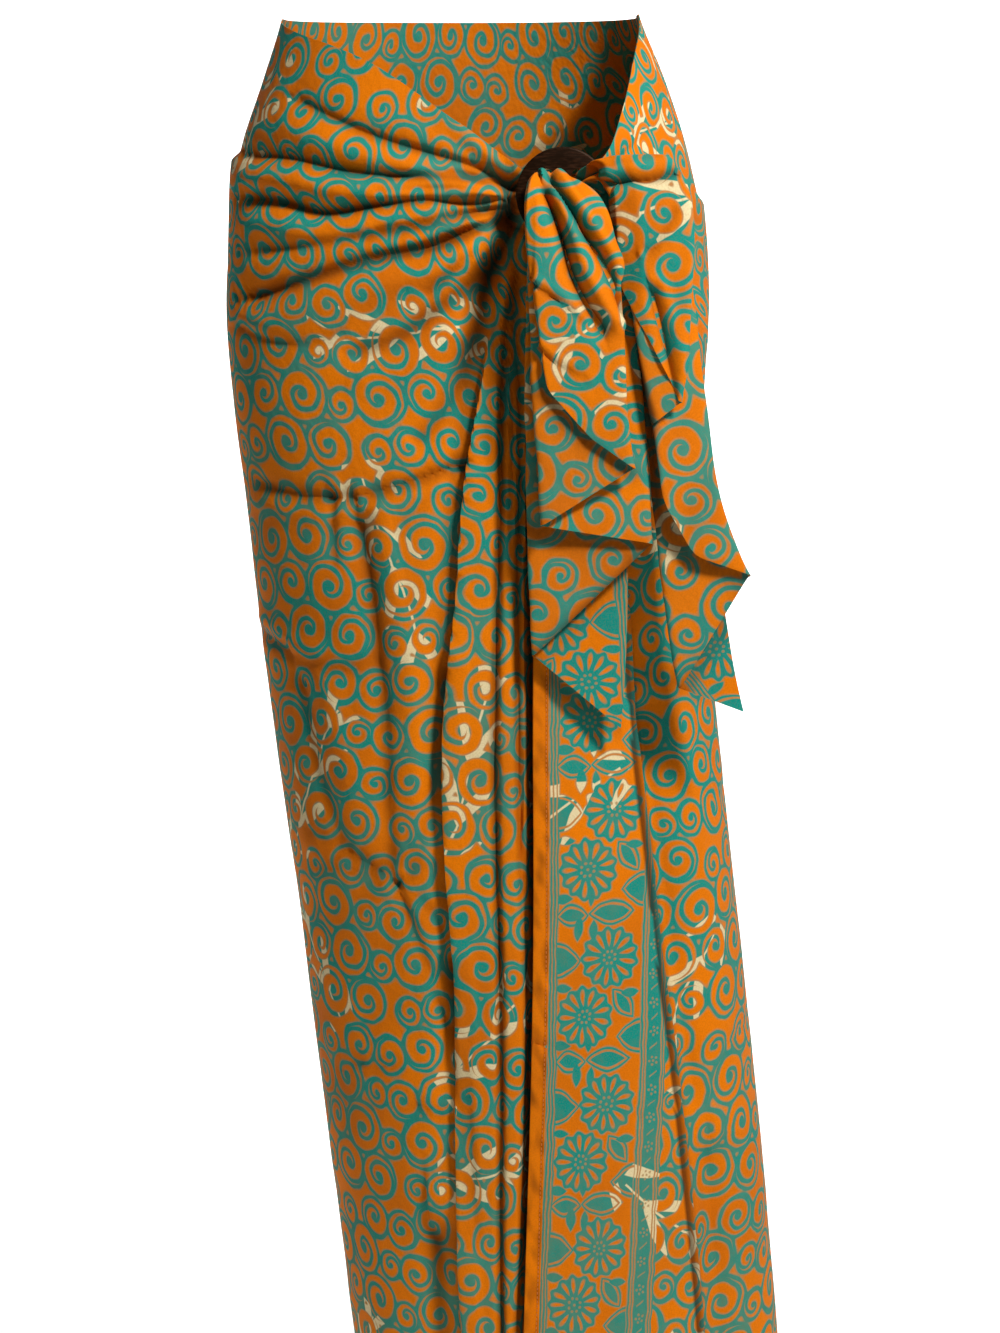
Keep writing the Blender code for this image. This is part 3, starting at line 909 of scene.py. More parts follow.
    def _sprays(self) -> Field:
        """Distance outside the leaf sprays: a bent stem with slanted leaves, one in most wide cells.

        Returns:
            Field of the distance, below nought inside them.
        """
        x, y, heading, chance = self._cells(self.u + 37.0, self.v + 11.0, 150.0, 0.75)
        angle = heading * (2 * math.pi)
        p = x * angle.cos() + y * angle.sin()
        q = y * angle.cos() - x * angle.sin() + (p / 34.0).sin() * 6.0
        stem = (q.abs() - 0.8).max(p.abs() - 62.0)
        step = 44.0
        local = ((p / step).fract() - 0.5) * step
        side = q.abs() - 9.0
        leaf = self._leaf(local * 0.88 + side * 0.47, side * 0.88 - local * 0.47, 28.0, 4.2)
        return stem.min(leaf.max(p.abs() - 68.0)) + (0.34 - chance).above(0.0) * 30.0

    def ground(self) -> bpy.types.NodeSocket:
        """Orange ground with soft deeper blotches."""
        return self._mix((self._noise(9.0, 1.0) - 0.35) * 2.2, self.inks.orange, self.inks.orange_deep)

    def dyed(self) -> bpy.types.NodeSocket:
        """Colour of the printed cloth.

        Returns:
            Orange ground, teal shapes with a tan rim that wear towards the hem, and sprays that are cream
            where they cross the teal.
        """
        inks, ground = self.inks, self.ground()
        in_border = (self.border_end - self.u).above(0.0) * self.far_off
        past_border = (self.u - (self.border_end + 0.5)).above(0.0) * self.far_off
        shapes, marks = self._border()
        shapes = (shapes + past_border).min(self._spirals() + in_border)
        age = ((self.v - self.wear_start) * 0.0008).max(0.0)
        wear_and_painted_shade = (self._noise(5.0, 1.0) - 0.42) * 1.7 + (self._noise(90.0, 1.0) - 0.5) * 0.9 + age
        teal = self._mix(wear_and_painted_shade, inks.teal, inks.teal_worn)
        inked = self._mix(self._sprays().inside(0.3), teal, inks.cream)
        inked = self._mix((marks + past_border).inside(0.35) * 0.85, inked, inks.tan)
        rimmed = self._mix((shapes - 0.8).inside(0.65) * 0.85, ground, inks.tan)
        return self._mix((shapes + 0.1).inside(0.3), rimmed, inked)

    def thread(self, colour: bpy.types.NodeSocket, layer: Layer) -> bpy.types.NodeSocket:
        """Thread unevenness, painted shade in folds and under layers, and the paler dye of the wrong side.

        Args:
            colour: Colour of the dye.
            layer: Side of the cloth.

        Returns:
            Colour of the cloth.
        """
        tone = self._mix((self._noise(900.0, 0.0) - 0.5) * 0.30 + 0.05, colour, self.inks.thread)
        # Painted shade: the mesh's shade mask pulls the colour towards the shade colour.
        depth = add_node(self.tree, "ShaderNodeAttribute", attribute_name="painted_shade_mask")
        tone = self._mix(self._part(depth, "Fac") * 0.88, tone, self.inks.shade)
        if layer is Layer.WRONG_SIDE:
            tone = self._mix(self._noise(14.0, 0.0) * 0.06 + 0.01, tone, self.inks.wrong_side)
        return tone

    def crumple(self) -> bpy.types.NodeSocket:
        """Small creases as a bump."""
        values = {"Strength": 0.35, "Distance": 0.0012, "Height": self._noise(160.0, 1.0)}
        return add_node(self.tree, "ShaderNodeBump", values).outputs[0]


@dataclass(frozen=True)
class BatikFinish:
    """Procedural batik: spirals over the field, a flower border along the short edge, leaf sprays."""

    name: str
    layer: Layer = Layer.RIGHT_SIDE
    plain: bool = False
    inks: BatikInks = field(default_factory=BatikInks)
    roughness: float = 0.78
    shine: float = 0.08

    def build(self) -> bpy.types.Material:
        """Makes the material.

        Returns:
            Material that reads the map named cloth, in metres of flat cloth from the short edge and the top.
        """
        material, tree, shader = new_material(self.name)
        batik = BatikPrint(tree, self.inks)
        colour = batik.ground() if self.plain else batik.dyed()
        fill(tree, shader, {
            "Base Color": batik.thread(colour, self.layer), "Normal": batik.crumple(),
            "Roughness": self.roughness,
            "Specular IOR Level": self.shine, "Sheen Weight": 0.01, "Sheen Roughness": 0.5})
        return material


@dataclass(frozen=True)
class ShellFinish:
    """Polished coconut shell: very dark brown with short pale fibres and fine scratches."""

    name: str = "coconut_shell"
    dark: Colour = (0.008, 0.003, 0.001)
    brown: Colour = (0.034, 0.012, 0.005)
    fleck: Colour = (0.33, 0.19, 0.10)
    grain_turn: float = 38.0

    def build(self) -> bpy.types.Material:
        """Makes the material on Object coordinates.

        Returns:
            The material, with fibres along the slanted grain.
        """
        material, tree, shader = new_material(self.name)
        place = add_node(tree, "ShaderNodeTexCoord").outputs["Object"]
        turned = add_node(tree, "ShaderNodeMapping", {
            "Vector": place, "Rotation": (0.0, math.radians(self.grain_turn), 0.0),
            "Scale": (160.0, 400.0, 900.0)})
        fibre, cloud = (
            Field(tree, add_node(tree, "ShaderNodeTexNoise", values).outputs["Fac"]) for values in (
                {"Vector": turned.outputs[0], "Scale": 1.0, "Detail": 4.0},
                {"Vector": place, "Scale": 55.0, "Detail": 3.0}))
        ramp = add_node(tree, "ShaderNodeValToRGB", {0: fibre * 0.72 + cloud * 0.28})
        stops = ramp.color_ramp.elements
        stops[0].position, stops[1].position = 0.45, 0.68
        for stop, colour in zip((stops[0], stops[1], stops.new(0.74)), (self.dark, self.brown, self.fleck)):
            stop.color = (*colour, 1.0)
        bump = add_node(tree, "ShaderNodeBump", {"Strength": 0.25, "Distance": 0.0006, "Height": fibre})
        fill(tree, shader, {
            "Base Color": ramp.outputs[0], "Roughness": fibre * 0.3 + 0.3, "Normal": bump.outputs[0],
            "Specular IOR Level": 0.11, "Specular Tint": (1.0, 0.62, 0.42, 1.0)})
        return material


# The wrap


def from_height(z: Array, start: float, span: float) -> Array:
    """Nought down to a height, easing to one over the span below it."""
    return ease((start - z) / span)


def flat_map(across: Array, points: Array) -> Array:
    """Place on the flat cloth: the distance across it, and the drop of each point below the waist."""
    return np.stack([across, -points[..., 2]], axis=-1)


@dataclass
class Wrap:
    """The hanging part of the sarong: two fronts and a back, on one worn form.

    Top edges are rows of degrees from the front and height. left_end and right_start are the angles in
    degrees at which the two fronts end at the top, behind the buckle.
    """

    form: WornForm = field(default_factory=WornForm)
    lines: FrontLines = field(default_factory=FrontLines)
    wall: float = 0.8
    hem_side: float = -1168.0
    hem_front: float = -955.0
    back_rise: float = 9.0
    pleat_step: float = 7.0
    lap_height: float = 10.0
    underlap_level: float = -3.0
    fold_half_width: float = 8.0
    left_end: float = 19.0
    right_start: float = 24.0
    skipped_print: float = 112.0
    # Edges of the tails' layers, below which shadow is painted on the right front.
    tail_edges: tuple[Path, ...] = ()
    top_left: tuple = (
        (-90, 2), (-63, -11), (-52, -17), (-37, -26), (-21, -41),
        (-3, -72), (7.5, -97), (12, -107), (19, -119))
    top_right: tuple = ((19, -121), (27, -110), (34, -95), (41, -68), (51, -34), (63, -12), (76, 1), (90, 4))
    left_creases: list[Crease] = field(default_factory=lambda: creases([
        ("under_top", 9.0, 7.0, 0.5, ((41, -117), (2, -103), (-47, -89), (-81, -75), (-120, -54))),
        ("step", 8.0, 6.5, 0.8, (
            (41, -121), (15, -115), (-24, -113), (-74, -108), (-115, -98), (-158, -92)), 0.7),
        ("deep", 15.0, 7.0, 0.45, (
            (34, -127), (2, -129), (-24, -128), (-57, -131), (-91, -135), (-120, -127), (-158, -120))),
        ("hip", 10.0, 9.0, 0.5, (
            (38, -132), (5, -139), (-24, -146), (-60, -151), (-100, -156), (-158, -160)), 0.3),
        ("belly", 16.0, 8.5, 0.6, (
            (38, -136), (8, -147), (-18, -158), (-48, -164), (-74, -170), (-119, -183), (-160, -192))),
        ("lap", 12.0, 8.5, 0.4, ((38, -142), (28, -156), (8, -182), (-18, -202), (-44, -219), (-84, -230))),
        ("thigh", 10.0, 9.5, 0.4, ((38, -146), (22, -180), (8, -220), (-10, -262), (-34, -292))),
        ("cross", 4.5, 5.5, 0.8, ((8, -298), (-32, -312), (-65, -321), (-107, -322), (-150, -313))),
        ("cross_down", 3.5, 4.0, 0.5, ((-86, -320), (-85, -338), (-84, -372))),
        ("soft_fall", 6.5, 10.0, 0.7, ((-66, -340), (-58, -402), (-51, -471), (-50, -530), (-46, -590))),
        ("knee", 6.0, 10.0, 0.2, ((-8, -440), (-14, -484), (-22, -540), (-40, -588))),
        ("shin", 5.0, 12.0, 0.2, ((-112, -450), (-96, -518), (-76, -566), (-50, -586))),
        ("side_low", 3.5, 6.0, 0.5, ((-140, -422), (-108, -436), (-79, -439), (-50, -430))),
        ("calf", 7.0, 10.0, 0.8, ((-6, -640), (0, -700), (10, -768), (18, -850))),
        ("hem_fall", 10.0, 20.0, 1.0, ((-20, -840), (-15, -930), (-14, -1040), (-16, -1200))),
        ("star_a", 2.8, 3.6, 0.4, ((-43, -584), (-79, -566), (-114, -555))),
        ("star_b", 2.2, 3.2, 0.4, ((-43, -585), (-79, -582), (-116, -583))),
        ("star_c", 2.2, 3.2, 0.4, ((-43, -584), (-23, -570), (-3, -563))),
        ("star_d", 3.4, 4.0, 0.5, ((-43, -584), (-28, -625), (-10, -672))),
        ("star_e", 2.2, 3.2, 0.5, ((-40, -586), (-20, -602), (-3, -634))),
        ("dash_one", 2.6, 3.5, 0.5, ((-75, -719), (-57, -718), (-38, -714))),
        ("dash_two", 2.6, 3.5, 0.5, ((-30, -741), (-13, -747), (4, -751))),
        ("dash_three", 3.0, 3.5, 0.5, ((-18, -662), (-8, -685), (0, -708))),
        ("hip_dash", 2.6, 5.0, 0.5, ((-150, -210), (-110, -222), (-70, -212))),
        ("fine_a", 4.5, 4.6, 0.4, ((38, -120), (15, -112), (-18, -110), (-54, -113))),
        ("fine_b", 4.5, 4.2, 0.4, ((33, -123), (2, -120), (-31, -121), (-60, -123))),
        ("fine_c", 5.0, 4.6, 0.4, ((36, -130), (5, -136), (-24, -142), (-60, -148))),
        ("fine_d", 5.0, 4.6, 0.4, ((36, -138), (15, -156), (-5, -176), (-24, -192))),
        ("fine_e", 5.0, 4.6, 0.4, ((38, -145), (25, -168), (14, -193), (-2, -216))),
    ]))
    right_creases: list[Crease] = field(default_factory=lambda: creases([
        ("upper", 3.5, 5.0, 0.3, ((96, -108), (112, -92), (132, -72))),
        ("side", 5.0, 8.0, 0.4, ((100, -126), (128, -138), (164, -142))),
        ("hip_fold", 5.0, 9.0, 0.4, ((100, -150), (125, -195), (160, -240))),
        ("calf_one", 3.0, 4.5, 0.5, ((142, -716), (175, -712), (212, -700))),
        ("calf_two", 2.6, 4.0, 0.5, ((120, -742), (150, -738), (176, -744))),
        ("thigh_dash", 2.6, 4.5, 0.5, ((150, -520), (176, -534), (198, -530))),
        ("border_dash", 2.2, 4.0, 0.5, ((52, -690), (78, -698), (118, -702))),
        ("fold_fall", 6.0, 12.0, 0.8, ((122, -470), (138, -560), (152, -660), (168, -760))),
        ("hem_fall", 9.0, 16.0, 1.0, ((176, -790), (186, -900), (196, -1040), (204, -1200))),
    ]))
    back_creases: list[Crease] = field(default_factory=lambda: creases([
        ("waist_left", 4.0, 9.0, 0.2, ((-118, -30), (-70, -60), (-20, -72))),
        ("waist_right", 4.0, 9.0, 0.2, ((112, -28), (70, -64), (24, -84))),
        ("seat_left", 3.5, 14.0, 0.2, ((-140, -250), (-80, -262), (-30, -285))),
        ("seat_right", 3.5, 14.0, 0.2, ((150, -250), (90, -268), (40, -290))),
        ("seat_dash", 2.5, 5.0, 0.4, ((-90, -330), (-40, -342), (20, -336))),
        ("drop_left", 9.0, 22.0, 1.0, ((-84, -420), (-64, -760), (-30, -1200))),
        ("drop_middle", 10.0, 24.0, 1.0, ((20, -360), (44, -760), (66, -1200))),
        ("drop_right", 9.0, 22.0, 1.0, ((120, -440), (140, -760), (160, -1200))),
    ]))

    def hem(self, distance: Array) -> Array:
        """Hem's height at a distance in degrees from the short edge: a power of what is left of the way."""
        left = np.clip(1 - distance / 150, 0, 1)
        return self.hem_side + (self.hem_front - self.hem_side) * left**2.6

    def _heights(self, top: Array, hem: Array, rows: int, share: float) -> Array:
        """Heights from top edge to hem, closer together in the first half.

        Args:
            top: Height of the top edge at each column.
            hem: Height of the hem at each column.
            rows: Number of steps down.
            share: Share of the drop that the first half of the steps takes.

        Returns:
            Grid of heights.
        """
        drop = smooth_curve(
            np.linspace(0.0, 1.0, rows + 1), [0.0, 0.5, 0.6, 1.0], [0.0, share, share + 0.10, 1.0])
        return top[None, :] + (hem - top)[None, :] * drop[:, None]

    def _front_angle(self, line: Line, top_degrees: float, z: Array) -> Array:
        """Angle of a line down the front, which settles at one angle towards the top edge."""
        blend = from_height(z, -118, 40)
        return self.form.angle_at(self.lines.at(line, z), z) * blend + np.radians(top_degrees) * (1 - blend)

    def _turned(self, angle: Array, z: Array, line: Line, size: Array) -> Array:
        """Angles moved sideways near a line, so that a step there becomes a folded edge.

        With t the distance from the line in half widths of the fold, the shift is minus 2.6 t times the
        square of one less t squared.

        Args:
            angle: Angle of each point.
            z: Height of each point.
            line: Line of the fold.
            size: How far the fold is turned over, nought to one.

        Returns:
            The angles.
        """
        x, middle, width = self.form.x_at(angle, z), self.lines.at(line, z), self.fold_half_width
        t = np.clip((x - middle) / width, -1.0, 1.0)
        shift = -2.6 * t * (1 - t * t) ** 2 * width * size
        return np.where(np.abs(x - middle) < width, self.form.angle_at(x + shift, z), angle)

    def side_folds(self, angle: Array, z: Array) -> Array:
        """Folded edges that stand out at the two sides: each starts at once and dies away below.

        Args:
            angle: Angle of each point.
            z: Height of each point.

        Returns:
            Height of about five millimetres within twenty degrees of the side, less in step with the way
            down.
        """
        degrees = np.degrees(angle)
        left = bell(degrees - 360 * (degrees > 180), -90, 20) * from_height(z, -88, 7)
        right = bell(degrees, 90, 20) * from_height(z, -118, 7)
        return (
            5.5 * left * np.clip(1 - (-90 - z) / 75, 0, 1)
            + 5.0 * right * np.clip(1 - (-120 - z) / 90, 0, 1))

    def _pleats(self, x: Array, z: Array) -> Array:
        """Height of the proud front fold and of the turned-under pleats beside it.

        Args:
            x: Points' x.
            z: Points' z.

        Returns:
            A step up at the fold with a valley before it, sharp grooves between the pleats, a swell on the
            last one and a step down under the lap.
        """
        pleat, second, third, lap = (
            self.lines.at(line, z) for line in (Line.PLEAT, Line.SECOND, Line.THIRD, Line.LAP))
        height = self.pleat_step * ease((x - pleat + 5) / 10)
        height -= 3.0 * bell(x, pleat - 9, 8) * from_height(z, -150, 90)
        middle = (second + third) / 2 + 1.5 * np.sin(z / 60)
        between = (pleat + second) / 2 + 2.0 * np.sin(z / 80 + 1)
        for place, depth, width, strength in (
                (second, 6.5, 2.2, from_height(z, -150, 50)), (third, 5.0, 2.2, from_height(z, -160, 60)),
                (middle, 3.5, 1.8, from_height(z, -150, 40) * ease((z + 420) / 160)),
                (between, 3.0, 2.4, from_height(z, -150, 40) * ease((z + 340) / 120))):
            height -= depth * bell(x, place, width) * strength
        crown = np.sin(np.pi * np.clip((x - second) / np.maximum(third - second, 4), 0, 1))
        height += 1.2 * crown * from_height(z, -240, 80)
        under = self.underlap_level - self.pleat_step - 2.0
        return height + under * ease((x - lap + 7) / 8) * from_height(z, -170, 60)

    def left_height(self, angle: Array, x: Array, z: Array) -> Array:
        """How far the left front stands off the form.

        Args:
            angle: Angle of each point.
            x: Points' x.
            z: Points' z.

        Returns:
            Pleats, creases, fine puckers round the buckle and soft rumples, all fading out at the side.
        """
        pleat = self.lines.at(Line.PLEAT, z)
        folds = creased(self.left_creases, x, z) * ease((pleat + 16 - x) / 14)
        rays, reach = np.arctan2(z + 132, 52 - x), np.hypot(z + 132, 52 - x)
        pucker = 0.9 * np.sin(24 * rays + 0.02 * reach) * bell(reach, 62, 30) * ease((pleat + 8 - x) / 12)
        soft = rumple(x, z * 0.7, 5, 45, 130) * 0.7 * from_height(z, -150, 120)
        soft += rumple(x, z * 0.6, 17, 15, 36) * 0.32 * from_height(z, -230, 120) * ease((pleat - x) / 14)
        seam = ease((np.degrees(angle) + 90) / 16)
        return (self._pleats(x, z) + folds + pucker + soft) * seam + self.side_folds(angle, z)

    def right_height(self, angle: Array, x: Array, z: Array) -> Array:
        """How far the right front, which laps over the left one, stands off the form.

        Args:
            angle: Angle of each point.
            x: Points' x.
            z: Points' z.

        Returns:
            The lap's height with a step down and a trough beyond the border, creases and soft rumples.
        """
        fold = self.lines.at(Line.BORDER, z)
        to_side = 90 - np.degrees(angle)
        step = self.lap_height - 8.0 * ease((x - fold + 5) / 10) * from_height(z, -250, 150)
        trough = -2.5 * bell(x, fold + 14, 9) * from_height(z, -400, 150)
        soft = rumple(x, z * 0.7, 9, 45, 120) * 0.6 + rumple(x, z * 0.6, 19, 15, 36) * 0.16
        loose = creased(self.right_creases, x, z) + soft * from_height(z, -130, 120)
        return (step + trough) * ease(to_side / 40) + loose * ease(to_side / 16) + self.side_folds(angle, z)

    def back_height(self, angle: Array, x: Array, z: Array) -> Array:
        """How far the back stands off the form.

        Args:
            angle: Angle of each point.
            x: Points' x.
            z: Points' z.

        Returns:
            Creases and soft rumples, fading out at both sides.
        """
        degrees = np.degrees(angle)
        seam = ease((degrees - 90) / 16) * ease((270 - degrees) / 16)
        soft = rumple(x, z * 0.6, 12, 70, 180) * 0.9
        return (creased(self.back_creases, x, z) + soft) * seam + self.side_folds(angle, z)

    def left_grid(self) -> tuple[Array, Array]:
        """Right side of the left front, from the side to the end of its underlap.

        Returns:
            Grid of points, with the columns closest together in the pleats, and the painted shade of each
            point, in the folds and as a shadow beside the lap's edge.
        """
        marks = np.concatenate([
            np.linspace(0, 0.62, 76)[:-1], np.linspace(0.62, 0.955, 72)[:-1], np.linspace(0.955, 1.0, 6)])
        side = -np.pi / 2
        top_angle = side + (np.radians(self.left_end) - side) * marks
        top = read_rows(self.top_left, 1, np.degrees(top_angle))
        z = self._heights(top, self.hem((1 - marks) * 100), 320, 0.26)
        angle = side + (self._front_angle(Line.UNDERLAP, self.left_end, z) - side) * marks[None, :]
        x = self.form.x_at(angle, z)
        height = self.left_height(angle, x, z)
        # Painted shadow along the lap's edge, where the right front lies over the left, and painted shade in
        # the folds.
        painted_lap_shadow = (
            np.clip(1.0 - (self.lines.at(Line.LAP, z) - x) / 7.0, 0.0, 1.0) * from_height(z, -300, 160))
        painted_shade_mask = np.maximum(hollow_of(height, 3, 2.4), 0.8 * hollow_of(height, 8, 6.0))
        turned = self._turned(angle, z, Line.PLEAT, from_height(z, -190, 120))
        return self.form.point(turned, z, height), np.maximum(painted_shade_mask, painted_lap_shadow)

    def right_angles(self, share: Array, z: Array) -> Array:
        """Angles of the right front between its lap edge and the side."""
        start = self._front_angle(Line.LAP, self.right_start, z)
        return start + (np.pi / 2 - start) * share

    def right_surface(self, share: Array, z: Array) -> Array:
        """Right side of the right front.

        Args:
            share: Share of its width, from the lap edge.
            z: Heights.

        Returns:
            Grid of points.
        """
        angle = self.right_angles(share, z)
        height = self.right_height(angle, self.form.x_at(angle, z), z)
        return self.form.point(self._turned(angle, z, Line.BORDER, from_height(z, -260, 160)), z, height)

    def right_grid(self) -> tuple[Array, int]:
        """Right side of the right front, with columns gathered round its border fold.

        Returns:
            Grid of points, and the column that follows the fold.
        """
        before, around, beyond = 34, 30, 50
        marks = np.linspace(0, 1, before + around + beyond + 1)
        top = read_rows(self.top_right, 1, self.right_start + (90 - self.right_start) * marks)
        z = self._heights(top, self.hem(marks * 100), 250, 0.22)
        start, border = self.right_angles(0.0, z), self.lines.at(Line.BORDER, z)
        left, right = (
            (self.form.angle_at(border + side, z) - start) / (np.pi / 2 - start) for side in (-9.0, 9.0))
        k = np.arange(len(marks))[None, :] + 0 * z
        first = left * k / before
        second = left + (right - left) * (k - before) / around
        third = right + (1 - right) * (k - before - around) / beyond
        share = np.where(k < before, first, np.where(k < before + around, second, third))
        blend = from_height(z, -130, 120)
        share = share * blend + marks[None, :] * (1 - blend)
        return self.right_surface(share, z), before + around // 2

    def back_grid(self) -> Array:
        """Right side of the back, from side to side.

        Returns:
            Grid of points.
        """
        share = np.linspace(0, 1, 111)
        top = 3.0 - share + self.back_rise * np.sin(np.pi * share)
        z = self._heights(top, self.hem(100 + 50 * np.sin(np.pi * share)), 190, 0.3)
        angle = (np.pi / 2 + np.pi * share)[None, :] + 0 * z
        return self.form.point(angle, z, self.back_height(angle, self.form.x_at(angle, z), z))

    def _right_shade(self, right: Array) -> Array:
        """Painted shade beyond the border's fold, and painted shadow under the tails' edges.

        Args:
            right: Grid of the points of the right front.

        Returns:
            Nought to one at each point.
        """
        level = right[..., 2]
        beyond_fold = right[..., 0] - self.lines.at(Line.BORDER, level) - 3.0
        shade = 0.9 * np.clip(1.0 - beyond_fold / 6.0, 0.0, 1.0) * (beyond_fold > -2.0)
        return np.maximum(
            shade * from_height(level, -340, 100), 0.8 * under_edges(right, self.tail_edges, 9.0))

    def _right_print(self, right: Array, fold_column: int) -> tuple[Array, Array, Array]:
        """The print's place on the right front, which skips the cloth hidden in the border's fold.

        Args:
            right: Grid of points.
            fold_column: Column that follows the fold.

        Returns:
            Millimetres across at each point, what is added to them in each cell, and what is added at the
            side.
        """
        across = settled(arc_along(right, 1), 12)
        at_fold = across[:, fold_column]
        gathered = ease((right[..., 2] + 260) / 90)
        skipped = np.maximum(self.skipped_print, at_fold + 14.0) - at_fold
        jump = skipped * (1 - gathered[:, -1]) + self.skipped_print * gathered[:, -1]
        beyond = np.arange(right.shape[1] - 1)[None, :] >= fold_column
        return across, np.where(beyond, jump[:, None], self.skipped_print * gathered[:, :-1]), jump

    def build(self, batik: list[bpy.types.Material]) -> list[bpy.types.Object]:
        """Makes the three panels with one continuous print.

        The back's print is a blend of one that follows on from the right front and one that leads into the
        left.

        Args:
            batik: Material of the right side, then of the wrong side.

        Returns:
            Left front, right front and back.
        """
        (left, left_painted_shade), (right, fold_column), back = (
            self.left_grid(), self.right_grid(), self.back_grid())
        right_u, skip, jump = self._right_print(right, fold_column)
        back_arc, left_arc = arc_along(back, 1), settled(arc_along(left, 1), 20)
        pleat_column = 100
        left_u = left_arc - left_arc[:, pleat_column:pleat_column + 1]
        right_end = np.interp(-back[:, 0, 2], -right[:, -1, 2], right_u[:, -1] + jump)
        left_end = np.interp(-back[:, -1, 2], -left[:, 0, 2], left_u[:, 0])
        offset = float(np.mean(right_end + back_arc[:, -1] - left_end))
        share = back_arc / back_arc[:, -1:]
        from_left = left_end[:, None] + offset - back_arc[:, -1:] + back_arc
        back_u = (right_end[:, None] + back_arc) * (1 - share) + from_left * share
        made = []
        # The last of each row is the panel's painted shade, or none.
        for name, grid, across, shift, painted_shade_mask in (
                ("left_front_cloth", left, left_u + offset, None, left_painted_shade),
                ("right_front_cloth", right, right_u, skip, self._right_shade(right)),
                ("back_wrap_cloth", back, back_u, None, None)):
            lining = grid - self.wall * normals_of(grid)
            made.append(ClothMesh(name, grid, lining, flat_map(across, grid), shift, painted_shade_mask).build(batik))
        return made


# The hem and the tails


@dataclass
class TurnedHem:
    """Turned and stitched hem of the short edge, on the lap edge of the right front."""

    wrap: Wrap
    width: float = 10.0
    lift: float = 0.3
    wall: float = 0.9
    top: float = -172.0
    stitch_line: float = 8.4
    stitch_step: float = 3.1
    stitch_length: float = 2.3
    stitch_radius: float = 0.34
    stitch_sides: int = 6

    def _surface(self, across: Array, z: Array, offset: Array) -> Array:
        """Points over the lap.

        Args:
            across: Distance in millimetres from the lap's edge.
            z: Heights.
            offset: Distance out from the cloth below.

        Returns:
            Grid of points.
        """
        start = self.wrap.right_angles(0.0, z)
        edge = self.wrap.form.angle_at(self.wrap.lines.at(Line.LAP, z) + self.width, z)
        strip = (edge - start) / (np.pi / 2 - start)
        points = self.wrap.right_surface(strip * across / self.width, z)
        even = self.wrap.right_surface(strip * np.linspace(0, 1, z.shape[1])[None, :] + 0 * z, z)
        return points + offset[..., None] * normals_of(even)

    def _strip(self, finish: bpy.types.Material) -> bpy.types.Object:
        """The turned strip, rounded across and slightly rippled.

        It carries painted shade: patchy all over, and darkest at its edge and along the stitches.

        Args:
            finish: Material of both its sides.

        Returns:
            The strip.
        """
        rows, cols = 420, 13
        z = np.linspace(self.top, self.wrap.hem_front - 1.5, rows)[:, None] + np.zeros((1, cols))
        across = np.linspace(0.05, self.width, cols)[None, :] + 0 * z
        crown = np.sin(np.pi * across / self.width)
        ripple = 0.22 * rumple(across * 2, z, 21, 14, 40) * crown
        face = self._surface(across, z, self.lift + self.wall - 0.3 + 0.55 * crown**0.6 + ripple)
        lining = self._surface(across, z, self.lift + 0 * z)
        # Painted shade on the strip: patchy shade with a slight darkening all over, and dark lines along the
        # stitches and at the lap's edge.
        wear_and_painted_shade = 0.3 * rumple(across * 2, z, 23, 12, 30) + 0.1
        painted_shade_mask = np.clip(wear_and_painted_shade + 0.5 * bell(across, self.width - 1.4, 0.8) + 0.3 * (across < 0.6), 0.0, 0.7)
        cloth = ClothMesh(
            "hem_strip_cloth", face, lining, flat_map(across, z[..., None] * (0, 0, 1)), painted_shade_mask=painted_shade_mask)
        return cloth.build([finish, finish])

    def _stitch(self) -> tuple[Array, list[tuple[int, ...]]]:
        """One stitch standing upright: three rings that swell in the middle, and a point at each end.

        Returns:
            Points in millimetres, and the corners of each face.
        """
        sides = self.stitch_sides
        swell, level = np.array([0.85, 1.0, 0.85])[:, None], np.array([-0.36, 0.0, 0.36])[:, None]
        turn = np.linspace(0, 2 * np.pi, sides + 1)[:-1]
        rings = np.stack([
            swell * np.cos(turn) * self.stitch_radius, swell * np.sin(turn) * self.stitch_radius,
            np.repeat(level, sides, 1) * self.stitch_length], axis=-1).reshape(-1, 3)
        ends = [[0, 0, -0.5 * self.stitch_length], [0, 0, 0.5 * self.stitch_length]]
        low, high = 3 * sides, 3 * sides + 1
        faces = [
            (ring + k, ring + (k + 1) % sides, ring + sides + (k + 1) % sides, ring + sides + k)
            for ring in (0, sides) for k in range(sides)]
        for k in range(sides):
            after = (k + 1) % sides
            faces += [(low, after, k), (high, 2 * sides + k, 2 * sides + after)]
        return np.concatenate([rings, ends]), faces

    def _stitches(self, thread: bpy.types.Material) -> bpy.types.Object:
        """The row of stitches near the strip's inner edge.

        Args:
            thread: Material of the stitches.

        Returns:
            All the stitches as one object.
        """
        count = int((self.top - self.wrap.hem_front) / self.stitch_step)
        level = self.top - 2 - self.stitch_step * np.arange(count)
        z = level[:, None] + np.zeros((1, 3))
        seat = self._surface(self.stitch_line + 0 * z, z, self.lift + 0.95 + 0 * z)[:, 1]
        points, faces = self._stitch()
        corners = [[corner + len(points) * k for corner in face] for k in range(count) for face in faces]
        mesh = bpy.data.meshes.new("hem_stitches")
        mesh.from_pydata(((seat[:, None, :] + points[None]).reshape(-1, 3) * MM).tolist(), [], corners)
        mesh.polygons.foreach_set("use_smooth", np.ones(len(corners), bool))
        mesh.materials.append(thread)
        LOG.info("hem: %d stitches", count)
        return place_piece("hem_stitches", mesh)

    def build(self, finish: bpy.types.Material, thread: bpy.types.Material) -> list[bpy.types.Object]:
        """Makes the strip and its row of stitches."""
        return [self._strip(finish), self._stitches(thread)]


